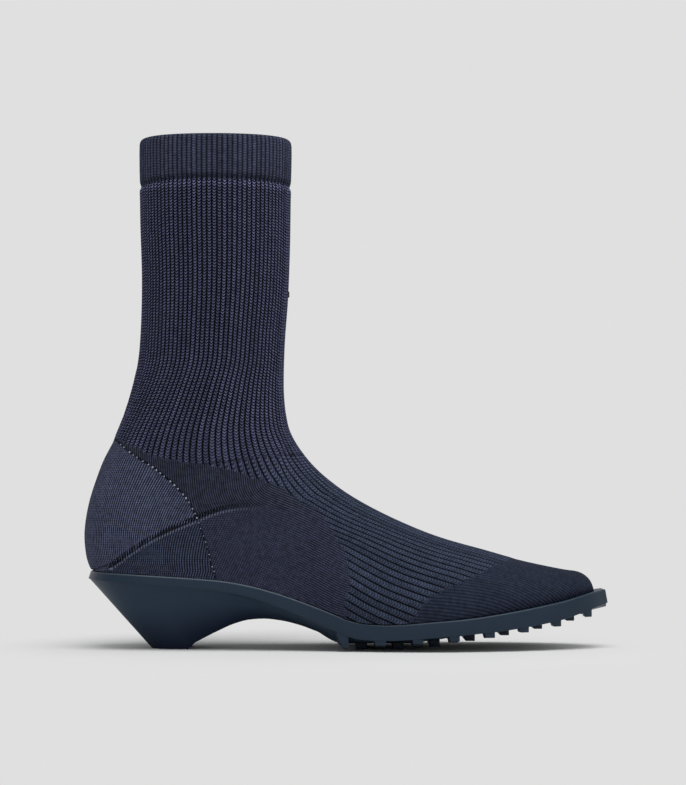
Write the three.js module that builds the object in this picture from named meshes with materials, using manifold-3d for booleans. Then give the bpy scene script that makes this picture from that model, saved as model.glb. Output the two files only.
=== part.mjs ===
// A knitted sock boot, right foot, on a moulded unit sole with a small wedge heel.
// Millimetres. +X to the toe, +Y to the inner side of the foot, +Z up, floor at Z = 0.
// The origin lies on the floor, halfway between the back of the heel and the toe tip.

import * as THREE from 'three';
import { LoftGeometry } from 'three/addons/geometries/LoftGeometry.js';
import { mergeVertices } from 'three/addons/utils/BufferGeometryUtils.js';
import Module from 'manifold-3d';

// Overall sizes
const LENGTH = 265.8;
const BOOT_HEIGHT = 256.6;
const BALL_WIDTH = 86;
const HEEL_WIDTH = 59;

// Upper
const WALL = 2;
const SHAFT_DEPTH = 75;
const SHAFT_WIDTH = 66;
const SHAFT_SET_BACK = 29.1;
const ANKLE_HEIGHT = 135;
const INSTEP_HEIGHT = 83.4;
const CUFF_HEIGHT = 21.6;
const NOTCH_DEPTH = 1;
const RIDGE_LEAN = 4;
const HEEL_FADE = 70;
const SIDE_BULGE = 0.05;

// Unit sole
const HEEL_HEIGHT = 39.3;
const BALL_TOP = 13.3;
const TOE_TOP = 29.9;
const BAND_HEIGHT = 8;
const BAND_DRAFT = 1;
const BAND_STEP = 0.6;
const EDGE_FILLET = 0.8;
const LOWER_FILLET = 0.4;
const HEEL_LEDGE = 0.6;
const TOE_LEDGE = 3.5;
const TOE_SHELF = 6.5;
const ARCH_HEIGHT = 15.2;
const HEEL_LEAN = 31.8;
const HEEL_BLEND = 71.3;
const HEEL_OVERHANG = 2.4;
const PLATE_CHAMFER = 0.2;

// Tread
const LUG_DEPTH = 2.5;
const LUG_LENGTH = 6.6;
const TOE_LUG_LENGTH = 5;
const LUG_PITCH = 17.6;
const LUG_RAMP = 1.2;
const LUG_ROOT = 1.5;
const LUG_INSET = 0.3;
const FIRST_LUG_RAMP = 4;
const TOE_LUG_BACK = 11.6;
const EDGE_LIFT = 3.4;
const TREAD_TOE_HEIGHT = 18.5;

// Insole
const INSOLE_THICKNESS = 3;
const INSOLE_SETBACK = 8;
const GAP = 0.3;

// Fineness
const HALF_COLUMNS = 18;
const COLUMNS = 2 * HALF_COLUMNS;
const SOLE_STATIONS = 48;
const PATH_SAMPLES = 900;
const SECTION_SAMPLES = 120;
const WELD = 1e-3;

// Places that follow from the sizes
const REAR = -LENGTH / 2;
const TIP = LENGTH / 2;
const SOLE_REAR = REAR + HEEL_OVERHANG;
const NOSE = TIP - TOE_SHELF;
const HEEL_CORNER = SOLE_REAR + BAND_DRAFT + HEEL_LEDGE;
const SHAFT_BACK = REAR + SHAFT_SET_BACK;
const INSTEP_START = SHAFT_BACK + SHAFT_DEPTH;
const HEEL_ROUND = HEEL_WIDTH / 3;

// Sole's top and band, from the heel to the toe tip. at: share of the length. heel and toe: shares of the
// rise from the ball to the heel and to the toe. band: share of the band's height.
const SOLE_PROFILE = [
  { at: 0.000, heel: 1.000, toe: 0.000, band: 0.51 },
  { at: 0.223, heel: 0.862, toe: 0.000, band: 0.60 },
  { at: 0.270, heel: 0.819, toe: 0.000, band: 0.65 },
  { at: 0.317, heel: 0.735, toe: 0.000, band: 0.70 },
  { at: 0.365, heel: 0.608, toe: 0.000, band: 0.80 },
  { at: 0.412, heel: 0.450, toe: 0.000, band: 0.88 },
  { at: 0.460, heel: 0.269, toe: 0.000, band: 0.99 },
  { at: 0.488, heel: 0.154, toe: 0.000, band: 1.00 },
  { at: 0.504, heel: 0.085, toe: 0.000, band: 1.00 },
  { at: 0.540, heel: 0.015, toe: 0.000, band: 0.98 },
  { at: 0.577, heel: 0.000, toe: 0.000, band: 0.95 },
  { at: 0.666, heel: 0.000, toe: 0.096, band: 0.96 },
  { at: 0.732, heel: 0.000, toe: 0.190, band: 0.97 },
  { at: 0.797, heel: 0.000, toe: 0.337, band: 1.06 },
  { at: 0.903, heel: 0.000, toe: 0.639, band: 1.12 },
  { at: 0.966, heel: 0.000, toe: 0.890, band: 1.00 },
  { at: 1.000, heel: 0.000, toe: 1.000, band: 0.89 },
];

// Underside behind the tread. at: share of the length. arch: share of the arch height.
const ARCH_PROFILE = [
  { at: 0.128, arch: 0.00 },
  { at: 0.202, arch: 0.00 },
  { at: 0.212, arch: 0.17 },
  { at: 0.224, arch: 0.29 },
  { at: 0.258, arch: 0.59 },
  { at: 0.292, arch: 0.85 },
  { at: 0.319, arch: 0.97 },
  { at: 0.346, arch: 1.00 },
  { at: 0.376, arch: 0.95 },
  { at: 0.410, arch: 0.82 },
  { at: 0.444, arch: 0.62 },
  { at: 0.478, arch: 0.38 },
  { at: 0.505, arch: 0.17 },
];

// Half width of the underside's edge, as a share of the sole's half width above it.
const KEEL = [
  { at: 0.000, share: 0.54 },
  { at: 0.140, share: 0.54 },
  { at: 0.210, share: 0.50 },
  { at: 0.270, share: 0.43 },
  { at: 0.345, share: 0.40 },
  { at: 0.405, share: 0.46 },
  { at: 0.447, share: 0.60 },
  { at: 0.480, share: 0.80 },
  { at: 0.510, share: 0.94 },
  { at: 1.000, share: 0.94 },
];

// Lugs' bottoms. tread: the middle row, as a share of its height at the tip. lift: how much higher the
// outer edge stands, as a share of the edge lift.
const TREAD_PROFILE = [
  { at: 0.490, tread: 0.00, lift: 0.50 },
  { at: 0.564, tread: 0.00, lift: 1.00 },
  { at: 0.615, tread: 0.00, lift: 1.25 },
  { at: 0.660, tread: 0.07, lift: 1.00 },
  { at: 0.702, tread: 0.17, lift: 0.70 },
  { at: 0.769, tread: 0.30, lift: 0.45 },
  { at: 0.830, tread: 0.46, lift: 0.25 },
  { at: 0.894, tread: 0.62, lift: 0.12 },
  { at: 0.953, tread: 0.86, lift: 0.00 },
  { at: 1.000, tread: 1.00, lift: 0.00 },
];

// Plan of the foot at the sole, by the share of its own length. inner and outer: shares of half the heel's
// width in the first table, and of half the ball's width in the second.
const HEEL_PLAN = [
  { at: 0.0000, inner: 0.000, outer: 0.000 },
  { at: 0.0020, inner: 0.185, outer: 0.185 },
  { at: 0.0090, inner: 0.388, outer: 0.388 },
  { at: 0.0230, inner: 0.602, outer: 0.602 },
  { at: 0.0470, inner: 0.800, outer: 0.800 },
  { at: 0.0780, inner: 0.918, outer: 0.918 },
  { at: 0.1150, inner: 0.980, outer: 0.980 },
  { at: 0.1600, inner: 1.000, outer: 1.000 },
];
const FOREFOOT_PLAN = [
  { at: 0.235, inner: 0.665, outer: 0.700 },
  { at: 0.310, inner: 0.625, outer: 0.710 },
  { at: 0.410, inner: 0.635, outer: 0.755 },
  { at: 0.505, inner: 0.745, outer: 0.860 },
  { at: 0.585, inner: 0.880, outer: 0.955 },
  { at: 0.650, inner: 0.965, outer: 0.990 },
  { at: 0.705, inner: 0.985, outer: 0.965 },
  { at: 0.760, inner: 0.960, outer: 0.880 },
  { at: 0.820, inner: 0.885, outer: 0.755 },
  { at: 0.880, inner: 0.755, outer: 0.565 },
  { at: 0.930, inner: 0.610, outer: 0.385 },
  { at: 0.970, inner: 0.460, outer: 0.215 },
  { at: 1.000, inner: 0.300, outer: 0.030 },
];

// Back of the upper. up: 0 at the sole, 1 at the ankle, 2 at the collar. lean: share of the set-back.
const BACK_PROFILE = [
  { up: 0.000, lean: 0.115 },
  { up: 0.050, lean: 0.052 },
  { up: 0.105, lean: 0.018 },
  { up: 0.182, lean: 0.000 },
  { up: 0.265, lean: 0.022 },
  { up: 0.370, lean: 0.089 },
  { up: 0.476, lean: 0.196 },
  { up: 0.580, lean: 0.325 },
  { up: 0.690, lean: 0.515 },
  { up: 0.800, lean: 0.665 },
  { up: 0.900, lean: 0.773 },
  { up: 1.000, lean: 0.860 },
  { up: 1.090, lean: 0.940 },
  { up: 1.214, lean: 0.982 },
  { up: 1.428, lean: 1.000 },
  { up: 1.680, lean: 0.966 },
  { up: 2.000, lean: 0.950 },
];

// Front of the shaft, down to the instep. ahead: share of the shaft's depth.
const FRONT_PROFILE = [
  { up: 2.000, ahead: 1.010 },
  { up: 1.763, ahead: 1.005 },
  { up: 1.551, ahead: 1.000 },
  { up: 1.343, ahead: 0.987 },
  { up: 1.170, ahead: 0.967 },
  { up: 1.000, ahead: 0.959 },
  { up: 0.900, ahead: 0.964 },
  { up: 0.810, ahead: 0.979 },
];

// Ridge of the foot from the instep to the nose. ahead: share of the way from the shaft to the nose.
// over: height over the sole, as a share of the instep's height.
const RIDGE_PROFILE = [
  { ahead: 0.002, over: 0.990 },
  { ahead: 0.036, over: 0.899 },
  { ahead: 0.089, over: 0.814 },
  { ahead: 0.174, over: 0.754 },
  { ahead: 0.286, over: 0.672 },
  { ahead: 0.427, over: 0.541 },
  { ahead: 0.516, over: 0.468 },
  { ahead: 0.640, over: 0.378 },
  { ahead: 0.759, over: 0.281 },
  { ahead: 0.903, over: 0.172 },
  { ahead: 0.956, over: 0.130 },
  { ahead: 0.983, over: 0.088 },
  { ahead: 0.996, over: 0.050 },
  { ahead: 1.000, over: 0.000 },
];

// Rows of the tread, from its inside to its outside, as shares of the sole's half width; then where the
// first lug stands, as a share of the length, and how much the pitch closes up to the toe.
const MIDDLE_LUG_OUTSIDE = 0.42;
const SIDE_LUG_INSIDE = 0.52;
const FIRST_LUG_AT = 0.4932;
const LUG_CLOSING = 0.068;

// Half widths of the shaft, as shares of half its width.
const SHAFT_PROFILE = [
  { up: 0.000, half: 0.98 },
  { up: 0.500, half: 0.93 },
  { up: 0.850, half: 0.87 },
  { up: 1.050, half: 0.87 },
  { up: 1.400, half: 0.95 },
  { up: 1.700, half: 1.00 },
  { up: 2.000, half: 1.02 },
];

// Hem at the collar. down: share of the cuff's height. stand: how far the outside stands out, as a share of
// the notch's depth. wall: share of the wall, thicker where the knit is turned over.
const HEM = [
  { down: 0.00, stand: -0.90, wall: 1.0 },
  { down: 0.03, stand: -0.20, wall: 1.3 },
  { down: 0.09, stand: 0.30, wall: 1.4 },
  { down: 0.50, stand: 0.30, wall: 1.4 },
  { down: 0.84, stand: 0.15, wall: 1.4 },
  { down: 0.89, stand: -0.80, wall: 1.2 },
  { down: 1.00, stand: -1.00, wall: 1.0 },
  { down: 1.10, stand: -0.30, wall: 1.0 },
  { down: 1.25, stand: 0.00, wall: 1.0 },
];

// Fan of sections that turns from the shaft into the foot. ridge: 0 at the collar, 1 at the ankle, 2 at the
// nose. edge: 0 at the collar, 1 at the ankle, 2 at the heel's corner, 3 at the nose. rows: sections up to
// this one. ease: above 1 they crowd at the start.
const FAN = [
  { ridge: 1.000, edge: 1.000, rows: 8, ease: 1 },
  { ridge: 1.126, edge: 1.325, rows: 4, ease: 1 },
  { ridge: 1.244, edge: 1.714, rows: 4, ease: 1 },
  { ridge: 1.313, edge: 2.000, rows: 4, ease: 1 },
  { ridge: 1.341, edge: 2.034, rows: 4, ease: 2 },
  { ridge: 1.475, edge: 2.210, rows: 4, ease: 1.3 },
  { ridge: 1.614, edge: 2.508, rows: 5, ease: 1 },
  { ridge: 1.734, edge: 2.700, rows: 4, ease: 1 },
  { ridge: 1.861, edge: 2.855, rows: 4, ease: 1 },
  { ridge: 1.958, edge: 2.958, rows: 4, ease: 1 },
  { ridge: 2.000, edge: 3.000, rows: 4, ease: 1 },
];

// Foot and shaft melt into each other between these heights, shares of the way from the sole to the ankle.
const MELT_LOW = 0.24;
const MELT_HIGH = 0.82;

// Slope of the foot's top where the shaft hides it, and the powers that shape the foot's dome
const HIDDEN_SLOPE = 0.45;
const DOME_TOP = 1.9;
const DOME_SIDE = 0.5;

// Edge of the sole's top, from the shelf round the fillet. draft, fillet and drop: shares of those sizes.
const TOP_EDGE = [
  { draft: 1.0, fillet: 1.0, drop: 0.0 },
  { draft: 1.0, fillet: 0.3, drop: 0.3 },
  { draft: 0.9, fillet: 0.0, drop: 1.0 },
];

// Steps down the flank under the band, and how hollow it is
const FLANK_STEPS = [0.3, 0.65, 1];
const FLANK_HOLLOW = 0.85;
const BELLY_ACROSS = 0.5;

// Shares of the length: widest places of heel and ball, and where the ledge widens and the arch ends
const HEEL_AT = 0.16;
const BALL_AT = 0.68;
const LEDGE_WIDENS = 0.6;
const TREAD_BEGINS = 0.44;
const TREAD_FULL = 0.51;

const material = (color, roughness) => new THREE.MeshStandardMaterial({ color, roughness, metalness: 0 });
const KNIT = material('#2e3142', 0.95);
const RUBBER = material('#273241', 0.6);
const FOOTBED = material('#23262f', 0.9);

const wasm = await Module();
wasm.setup();

const lerp = THREE.MathUtils.lerp;
const clamp = THREE.MathUtils.clamp;
const smooth = THREE.MathUtils.smoothstep;

// Smooth function through a table: cubic pieces whose slopes never overshoot its rows.
function through(rows, from, to, warp = (value) => value) {
  const xs = rows.map((row) => warp(row[from]));
  const ys = rows.map((row) => row[to]);
  const last = xs.length - 1;
  const secants = xs.slice(1).map((x, i) => (ys[i + 1] - ys[i]) / (x - xs[i]));
  const slopes = xs.map((_, i) => {
    if (i === 0) return secants[0];
    if (i === last) return secants[last - 1];
    const before = secants[i - 1];
    const after = secants[i];
    return before * after > 0 ? (2 * before * after) / (before + after) : 0;
  });
  return (value) => {
    const x = clamp(warp(value), xs[0], xs[last]);
    const i = Math.max(0, xs.findIndex((node, k) => k > 0 && x <= node) - 1);
    const step = xs[i + 1] - xs[i];
    const t = (x - xs[i]) / step;
    const rest = 1 - t;
    const ends = ys[i] * (1 + 2 * t) * rest * rest + ys[i + 1] * t * t * (3 - 2 * t);
    return ends + step * t * rest * (slopes[i] * rest - slopes[i + 1] * t);
  };
}

// Straight readings between close samples, whichever way their keys run.
function reader(samples, key, value) {
  const rising = samples[0][key] < samples[samples.length - 1][key];
  const list = rising ? samples : [...samples].reverse();
  return (at) => {
    const k = clamp(list.findIndex((sample) => sample[key] >= at), 1, list.length - 1);
    const [a, b] = at > list[list.length - 1][key] ? list.slice(-2) : [list[k - 1], list[k]];
    const share = clamp((at - a[key]) / (b[key] - a[key] || 1), 0, 1);
    return lerp(a[value], b[value], share);
  };
}

// Sole, seen from the side
const heelRise = through(SOLE_PROFILE, 'at', 'heel');
const toeRise = through(SOLE_PROFILE, 'at', 'toe');
const bandShare = through(SOLE_PROFILE, 'at', 'band');
const archShare = through(ARCH_PROFILE, 'at', 'arch');
const keelShare = through(KEEL, 'at', 'share');
const treadShare = through(TREAD_PROFILE, 'at', 'tread');
const liftShare = through(TREAD_PROFILE, 'at', 'lift');
const shareOfLength = (x) => clamp((x - REAR) / LENGTH, 0, 1);

function soleTop(x) {
  const at = shareOfLength(x);
  return BALL_TOP + heelRise(at) * (HEEL_HEIGHT - BALL_TOP) + toeRise(at) * (TOE_TOP - BALL_TOP);
}

function bandLow(x) {
  return soleTop(x) - BAND_HEIGHT * bandShare(shareOfLength(x));
}

function treadHeight(x, across) {
  const at = shareOfLength(x);
  return TREAD_TOE_HEIGHT * treadShare(at) + EDGE_LIFT * liftShare(at) * across * across;
}

// How far the sole's lower edge stands outside the upper
const ledgeAt = (at) => lerp(HEEL_LEDGE, TOE_LEDGE, smooth(at, LEDGE_WIDENS, 1)) + BAND_DRAFT;

// Plan of the foot: inner and outer edges in millimetres
const inMillimetres = (rows, half) => rows.map((row) => ({
  at: row.at,
  inner: row.inner * half,
  outer: row.outer * half,
}));
const PLAN = [
  ...inMillimetres(HEEL_PLAN, HEEL_WIDTH / 2 - ledgeAt(HEEL_AT)),
  ...inMillimetres(FOREFOOT_PLAN, BALL_WIDTH / 2 - ledgeAt(BALL_AT)),
];
const planInner = through(PLAN, 'at', 'inner', Math.sqrt);
const planOuter = through(PLAN, 'at', 'outer', Math.sqrt);
const planEdge = (at, side) => side * (side > 0 ? planInner(at) : planOuter(at));
const planMiddle = (at) => (planInner(at) - planOuter(at)) / 2;
const planHalf = (at) => (planInner(at) + planOuter(at)) / 2;

// Upper, seen from the side
const place = (x, z) => new THREE.Vector3(x, 0, z);
const featherZ = (x) => soleTop(x) + GAP;
function heightAt(up) {
  if (up < 1) return lerp(HEEL_HEIGHT + GAP, ANKLE_HEIGHT, up);
  return lerp(ANKLE_HEIGHT, BOOT_HEIGHT, up - 1);
}
function pathThrough(points) {
  return new THREE.CatmullRomCurve3(points, false, 'centripetal').getSpacedPoints(PATH_SAMPLES);
}

const backPath = pathThrough(BACK_PROFILE.map((row) => {
  return place(REAR + row.lean * SHAFT_SET_BACK, heightAt(row.up));
}));
const ridgePath = pathThrough([
  ...FRONT_PROFILE.map((row) => place(SHAFT_BACK + row.ahead * SHAFT_DEPTH, heightAt(row.up))),
  ...RIDGE_PROFILE.map((row) => {
    const x = lerp(INSTEP_START, NOSE, row.ahead);
    return place(x, featherZ(x) + row.over * INSTEP_HEIGHT);
  }),
]);
const hollowOfFront = ridgePath.reduce((low, point, i) => (point.x < ridgePath[low].x ? i : low), 0);
const backAt = reader(backPath, 'z', 'x');
const frontAt = reader(ridgePath, 'z', 'x');
const ridgeTop = reader(ridgePath.slice(hollowOfFront), 'x', 'z');

const SHAFT_SECTIONS = SHAFT_PROFILE.map((row) => {
  return { z: heightAt(row.up), half: row.half * SHAFT_WIDTH / 2 };
});
const shaftHalf = through(SHAFT_SECTIONS, 'z', 'half');
const meltLow = heightAt(MELT_LOW);
const meltHigh = heightAt(MELT_HIGH);

// Height of the foot's form at x: the ridge, and behind the shaft's front a plane hidden inside the shaft
function footTop(x) {
  const front = ridgePath[hollowOfFront];
  return x > front.x ? ridgeTop(x) : front.z + HIDDEN_SLOPE * (front.x - x);
}

// Where the upper's surface lies across the foot, for one side: +1 inner, -1 outer
function surfaceY(x, z, side) {
  const back = backAt(z);
  const fade = 1 - smooth(x - back, 0, HEEL_FADE);
  const at = clamp((x - HEEL_CORNER - (back - HEEL_CORNER) * fade) / (NOSE - HEEL_CORNER), 0, 1);
  const feather = featherZ(x);
  const rise = clamp((z - feather) / Math.max(footTop(x) - feather, GAP), 0, 1);
  const dome = Math.pow(1 - Math.pow(rise, DOME_TOP), DOME_SIDE) * (1 + 4 * SIDE_BULGE * rise * (1 - rise));
  const footMiddle = planMiddle(at) + RIDGE_LEAN * rise * rise;
  const footY = footMiddle + side * planHalf(at) * dome;

  const front = frontAt(z);
  const across = clamp((2 * x - front - back) / (front - back), -1, 1);
  const shaftY = side * shaftHalf(z) * Math.sqrt(1 - across * across);

  return lerp(footY, shaftY, smooth(z, meltLow, meltHigh));
}

function middleY(x, z) {
  return (surfaceY(x, z, 1) + surfaceY(x, z, -1)) / 2;
}

// The edge that a section runs to: down the back, then along the sole to the nose
function edgePlace(edge) {
  if (edge > 2) {
    const x = lerp(HEEL_CORNER, NOSE, edge - 2);
    return place(x, featherZ(x));
  }
  const z = heightAt(2 - edge);
  return place(edge < 2 ? backAt(z) : HEEL_CORNER, z);
}

// The ridge that a section starts from: down the front, then along the instep to the nose
function ridgePlace(ridge) {
  if (ridge < 1) {
    const z = heightAt(2 - ridge);
    return place(frontAt(z), z);
  }
  const ankle = ridgePath.findIndex((point) => point.z <= ANKLE_HEIGHT);
  const at = lerp(ankle, PATH_SAMPLES, ridge - 1);
  const low = Math.min(Math.floor(at), PATH_SAMPLES - 1);
  return ridgePath[low].clone().lerp(ridgePath[low + 1], at - low);
}

// One side of a section, from the ridge to the edge, in equal steps along its girth
function sectionSide(ridge, edge, isClosed, side) {
  const points = [];
  for (let k = 0; k <= SECTION_SAMPLES; k++) {
    const share = (1 - Math.cos(Math.PI * k / SECTION_SAMPLES)) / 2;
    const point = ridge.clone().lerp(edge, share);
    const onMiddle = k === 0 || (isClosed && k === SECTION_SAMPLES);
    point.y = onMiddle ? middleY(point.x, point.z) : surfaceY(point.x, point.z, side);
    points.push(point);
  }
  const girth = [0];
  for (let k = 1; k < points.length; k++) girth.push(girth[k - 1] + points[k].distanceTo(points[k - 1]));
  const total = girth[girth.length - 1];
  const steps = [];
  for (let j = 0; j <= HALF_COLUMNS; j++) {
    const want = total * j / HALF_COLUMNS;
    const found = girth.findIndex((length) => length >= want);
    const k = j === HALF_COLUMNS ? SECTION_SAMPLES : Math.max(1, found);
    steps.push(points[k - 1].clone().lerp(points[k], (want - girth[k - 1]) / (girth[k] - girth[k - 1])));
  }
  return steps;
}

// The last section is the nose's lower edge, straight across the toe
function noseSide(side) {
  const steps = [];
  for (let j = 0; j <= HALF_COLUMNS; j++) {
    const y = lerp(planMiddle(1), planEdge(1, side), j / HALF_COLUMNS);
    steps.push(new THREE.Vector3(NOSE, y, featherZ(NOSE)));
  }
  return steps;
}

// All sections, from the collar to the nose
function upperSections() {
  const shaftHeight = BOOT_HEIGHT - ANKLE_HEIGHT;
  const plans = HEM.map((row) => ({
    ridge: row.down * CUFF_HEIGHT / shaftHeight,
    edge: row.down * CUFF_HEIGHT / shaftHeight,
    stand: row.stand * NOTCH_DEPTH,
    wall: row.wall * WALL,
  }));
  for (const turn of FAN) {
    const start = plans[plans.length - 1];
    for (let k = 1; k <= turn.rows; k++) {
      const share = k / turn.rows;
      plans.push({
        ridge: lerp(start.ridge, turn.ridge, share),
        edge: k === turn.rows ? turn.edge : lerp(start.edge, turn.edge, Math.pow(share, turn.ease)),
        stand: 0,
        wall: WALL,
      });
    }
  }
  return plans.map((plan, i) => {
    const isClosed = plan.edge <= 2;
    const isNose = i === plans.length - 1;
    const ridge = ridgePlace(plan.ridge);
    const edge = edgePlace(plan.edge);
    const half = (side) => (isNose ? noseSide(side) : sectionSide(ridge, edge, isClosed, side));
    const points = [...half(1).reverse(), ...half(-1).slice(1)];
    return { ...plan, isClosed, isNose, points };
  });
}

const sections = upperSections();

// Whether a section's point stands on the sole
function onSole(i, j) {
  const section = sections[i];
  return section.edge >= 2 && (j === 0 || j === COLUMNS || section.isNose);
}

// Outward directions at every point of the sections
function outwardDirections() {
  const number = (i, j) => i * (COLUMNS + 1) + (sections[i].isClosed && j === COLUMNS ? 0 : j);
  const index = [];
  for (let i = 0; i < sections.length - 1; i++) {
    for (let j = 0; j < COLUMNS; j++) {
      const [a, b, c, d] = [number(i, j), number(i + 1, j), number(i + 1, j + 1), number(i, j + 1)];
      index.push(a, d, b, b, d, c);
    }
  }
  const skin = new THREE.BufferGeometry().setFromPoints(sections.flatMap((section) => section.points));
  skin.setIndex(index);
  skin.computeVertexNormals();
  const normals = skin.getAttribute('normal');
  return sections.map((section, i) => section.points.map((_, j) => {
    const normal = new THREE.Vector3().fromBufferAttribute(normals, number(i, j));
    if (section.isNose) normal.set(1, normal.y, 0);
    if (onSole(i, j) || i === 0) normal.z = 0;
    return normal.normalize();
  }));
}

// Triangles of a closed body from its faces, each a list of four corners
function bodyFromQuads(quads) {
  const corners = quads.flatMap(([a, b, c, d]) => {
    const cutAcross = a.distanceTo(c) <= b.distanceTo(d);
    return cutAcross ? [a, b, c, a, c, d] : [b, c, d, b, d, a];
  });
  const soup = new THREE.BufferGeometry().setFromPoints(corners);
  return withoutSlivers(mergeVertices(soup, WELD));
}

function withoutSlivers(geometry) {
  const index = geometry.getIndex();
  const kept = [];
  for (let i = 0; i < index.count; i += 3) {
    const [a, b, c] = [index.getX(i), index.getX(i + 1), index.getX(i + 2)];
    if (a !== b && b !== c && c !== a) kept.push(a, b, c);
  }
  geometry.setIndex(kept);
  geometry.computeVertexNormals();
  return geometry;
}

const outward = outwardDirections();

// A section's points moved along their outward directions; what stands on the sole stays on it
function offsetSection(i, distance) {
  return sections[i].points.map((point, j) => {
    const moved = point.clone().addScaledVector(outward[i][j], distance);
    if (onSole(i, j)) moved.z = featherZ(moved.x);
    return moved;
  });
}

// Knitted upper: an outer and an inner skin, joined at the collar and along the sole. The clearance
// thickens the wall inwards, for the tool that cuts the insole.
function upperGeometry(clearance = 0) {
  const outer = sections.map((section, i) => offsetSection(i, section.stand));
  const inner = sections.map((section, i) => offsetSection(i, -section.wall - clearance));
  const last = sections.length - 1;
  const quads = [];
  for (let i = 0; i < last; i++) {
    for (let j = 0; j < COLUMNS; j++) {
      quads.push([outer[i][j], outer[i][j + 1], outer[i + 1][j + 1], outer[i + 1][j]]);
      quads.push([inner[i][j], inner[i + 1][j], inner[i + 1][j + 1], inner[i][j + 1]]);
    }
    if (sections[i].edge >= 2) {
      quads.push([outer[i][0], outer[i + 1][0], inner[i + 1][0], inner[i][0]]);
      quads.push([outer[i][COLUMNS], inner[i][COLUMNS], inner[i + 1][COLUMNS], outer[i + 1][COLUMNS]]);
    }
  }
  for (let j = 0; j < COLUMNS; j++) {
    quads.push([outer[0][j], inner[0][j], inner[0][j + 1], outer[0][j + 1]]);
    quads.push([outer[last][j], outer[last][j + 1], inner[last][j + 1], inner[last][j]]);
  }
  return bodyFromQuads(quads);
}

// Insole: a plate on the sole, ending before the toe gets too low for it
function insoleGeometry() {
  const rings = [];
  sections.forEach((section, i) => {
    const edges = offsetSection(i, -WALL - GAP);
    const [right, left] = [edges[0], edges[COLUMNS]];
    if (section.edge < 2 || Math.max(right.x, left.x) > NOSE - INSOLE_SETBACK) return;
    const rise = new THREE.Vector3(0, 0, INSOLE_THICKNESS);
    rings.push([right.clone().add(rise), left.clone().add(rise), left, right]);
  });
  return new LoftGeometry(rings, { capEnd: true });
}

// Sole's outline at a level: inset moves it inwards all round, the heel's back included
function soleEdge(at, inset, side) {
  const x = lerp(SOLE_REAR + inset, TIP - inset, at);
  const roundness = clamp(planHalf(at) / HEEL_ROUND, 0, 1);
  return new THREE.Vector3(x, planEdge(at, side) + side * (ledgeAt(at) - inset) * roundness, 0);
}

// One side of the sole's ring, from its top round the band and the flank to the underside
function soleArm(at, side) {
  const top = TOP_EDGE.map((row) => {
    const point = soleEdge(at, BAND_DRAFT * row.draft + EDGE_FILLET * row.fillet, side);
    point.z = soleTop(point.x) - EDGE_FILLET * row.drop;
    return point;
  });
  const lower = soleEdge(at, 0, side);
  const under = soleEdge(at, BAND_STEP, side);
  lower.z = bandLow(lower.x) + LOWER_FILLET;
  under.z = bandLow(under.x);
  const flank = FLANK_STEPS.map((down) => flankPoint(under, at, down));
  const belly = undersidePoint(flank[flank.length - 1], planMiddle(at), BELLY_ACROSS);
  return [...top, lower, under, ...flank, belly];
}

// A whole ring: the middle of the top, the outer side, the middle of the underside, the inner side
function soleRing(at) {
  const inner = soleArm(at, 1);
  const outer = soleArm(at, -1);
  const middleOf = (k) => inner[k].clone().lerp(outer[k], 0.5);
  const keel = undersidePoint(middleOf(inner.length - 2), planMiddle(at), 0);
  return [middleOf(0), ...outer, keel, ...inner.reverse()];
}

// Below the band the body draws in to the heel's base, the arch's keel or the tread
function flankPoint(under, at, down) {
  const lean = HEEL_LEAN * clamp(1 - (under.x - SOLE_REAR) / HEEL_BLEND, 0, 1);
  const foot = under.x + lean;
  const middle = planMiddle(at);
  const keel = middle + (under.y - middle) * keelShare(shareOfLength(foot));
  const y = lerp(under.y, keel, Math.pow(down, FLANK_HOLLOW));
  return new THREE.Vector3(under.x + lean * down, y, lerp(under.z, undersideEdge(foot), down));
}

// Share of the tread in the underside, and the heights that arch and tread melt between
const treadPart = (x) => smooth(shareOfLength(x), TREAD_BEGINS, TREAD_FULL);
const archHeight = (x) => ARCH_HEIGHT * archShare(shareOfLength(x));
const undersideEdge = (x) => lerp(archHeight(x), bandLow(x) - PLATE_CHAMFER, treadPart(x));

function undersidePoint(edge, middle, across) {
  const z = lerp(archHeight(edge.x), treadHeight(edge.x, across) + LUG_DEPTH, treadPart(edge.x));
  return new THREE.Vector3(edge.x, lerp(middle, edge.y, across), z);
}

// A block of the tread between two places along the sole; its corners come from a function
function block(corner) {
  const box = new THREE.BoxGeometry(1, 1, 1);
  const position = box.getAttribute('position');
  for (let i = 0; i < position.count; i++) {
    const point = corner(position.getX(i) > 0, position.getY(i) > 0, position.getZ(i) > 0);
    position.setXYZ(i, point.x, point.y, point.z);
  }
  return solid(box);
}

// Place and length of a side lug, counted from the arch. The row fills the tread, from the arch to the toe.
const firstLug = lerp(REAR, TIP, FIRST_LUG_AT);
const lugRun = TIP - TOE_LUG_BACK - firstLug;
const lugGaps = Math.max(1, Math.round(lugRun / LUG_PITCH));
function lugPlace(k) {
  const share = k / lugGaps;
  const middle = firstLug + lugRun * (share + LUG_CLOSING * share * (1 - share));
  const length = lerp(LUG_LENGTH, TOE_LUG_LENGTH, share);
  return { middle, length, ramp: k === 0 ? FIRST_LUG_RAMP : LUG_RAMP };
}

function soleAcross(x, share, side) {
  const at = (x - SOLE_REAR) / (TIP - SOLE_REAR);
  const edge = soleEdge(at, LUG_INSET, side);
  return lerp(planMiddle(at), edge.y, share);
}

function sideLug(k, side) {
  const { middle, length, ramp } = lugPlace(k);
  return block((isFront, isLeft, isTop) => {
    const isOuter = isLeft === (side > 0);
    const share = isOuter ? 1 : SIDE_LUG_INSIDE;
    const x = middle + (isFront ? length / 2 : -length / 2 + (isTop ? 0 : ramp));
    const bottom = treadHeight(middle, share);
    const root = isOuter ? bandLow(middle) : treadHeight(middle, share) + LUG_DEPTH;
    return new THREE.Vector3(x, soleAcross(x, share, side), isTop ? root + LUG_ROOT : bottom);
  });
}

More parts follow.
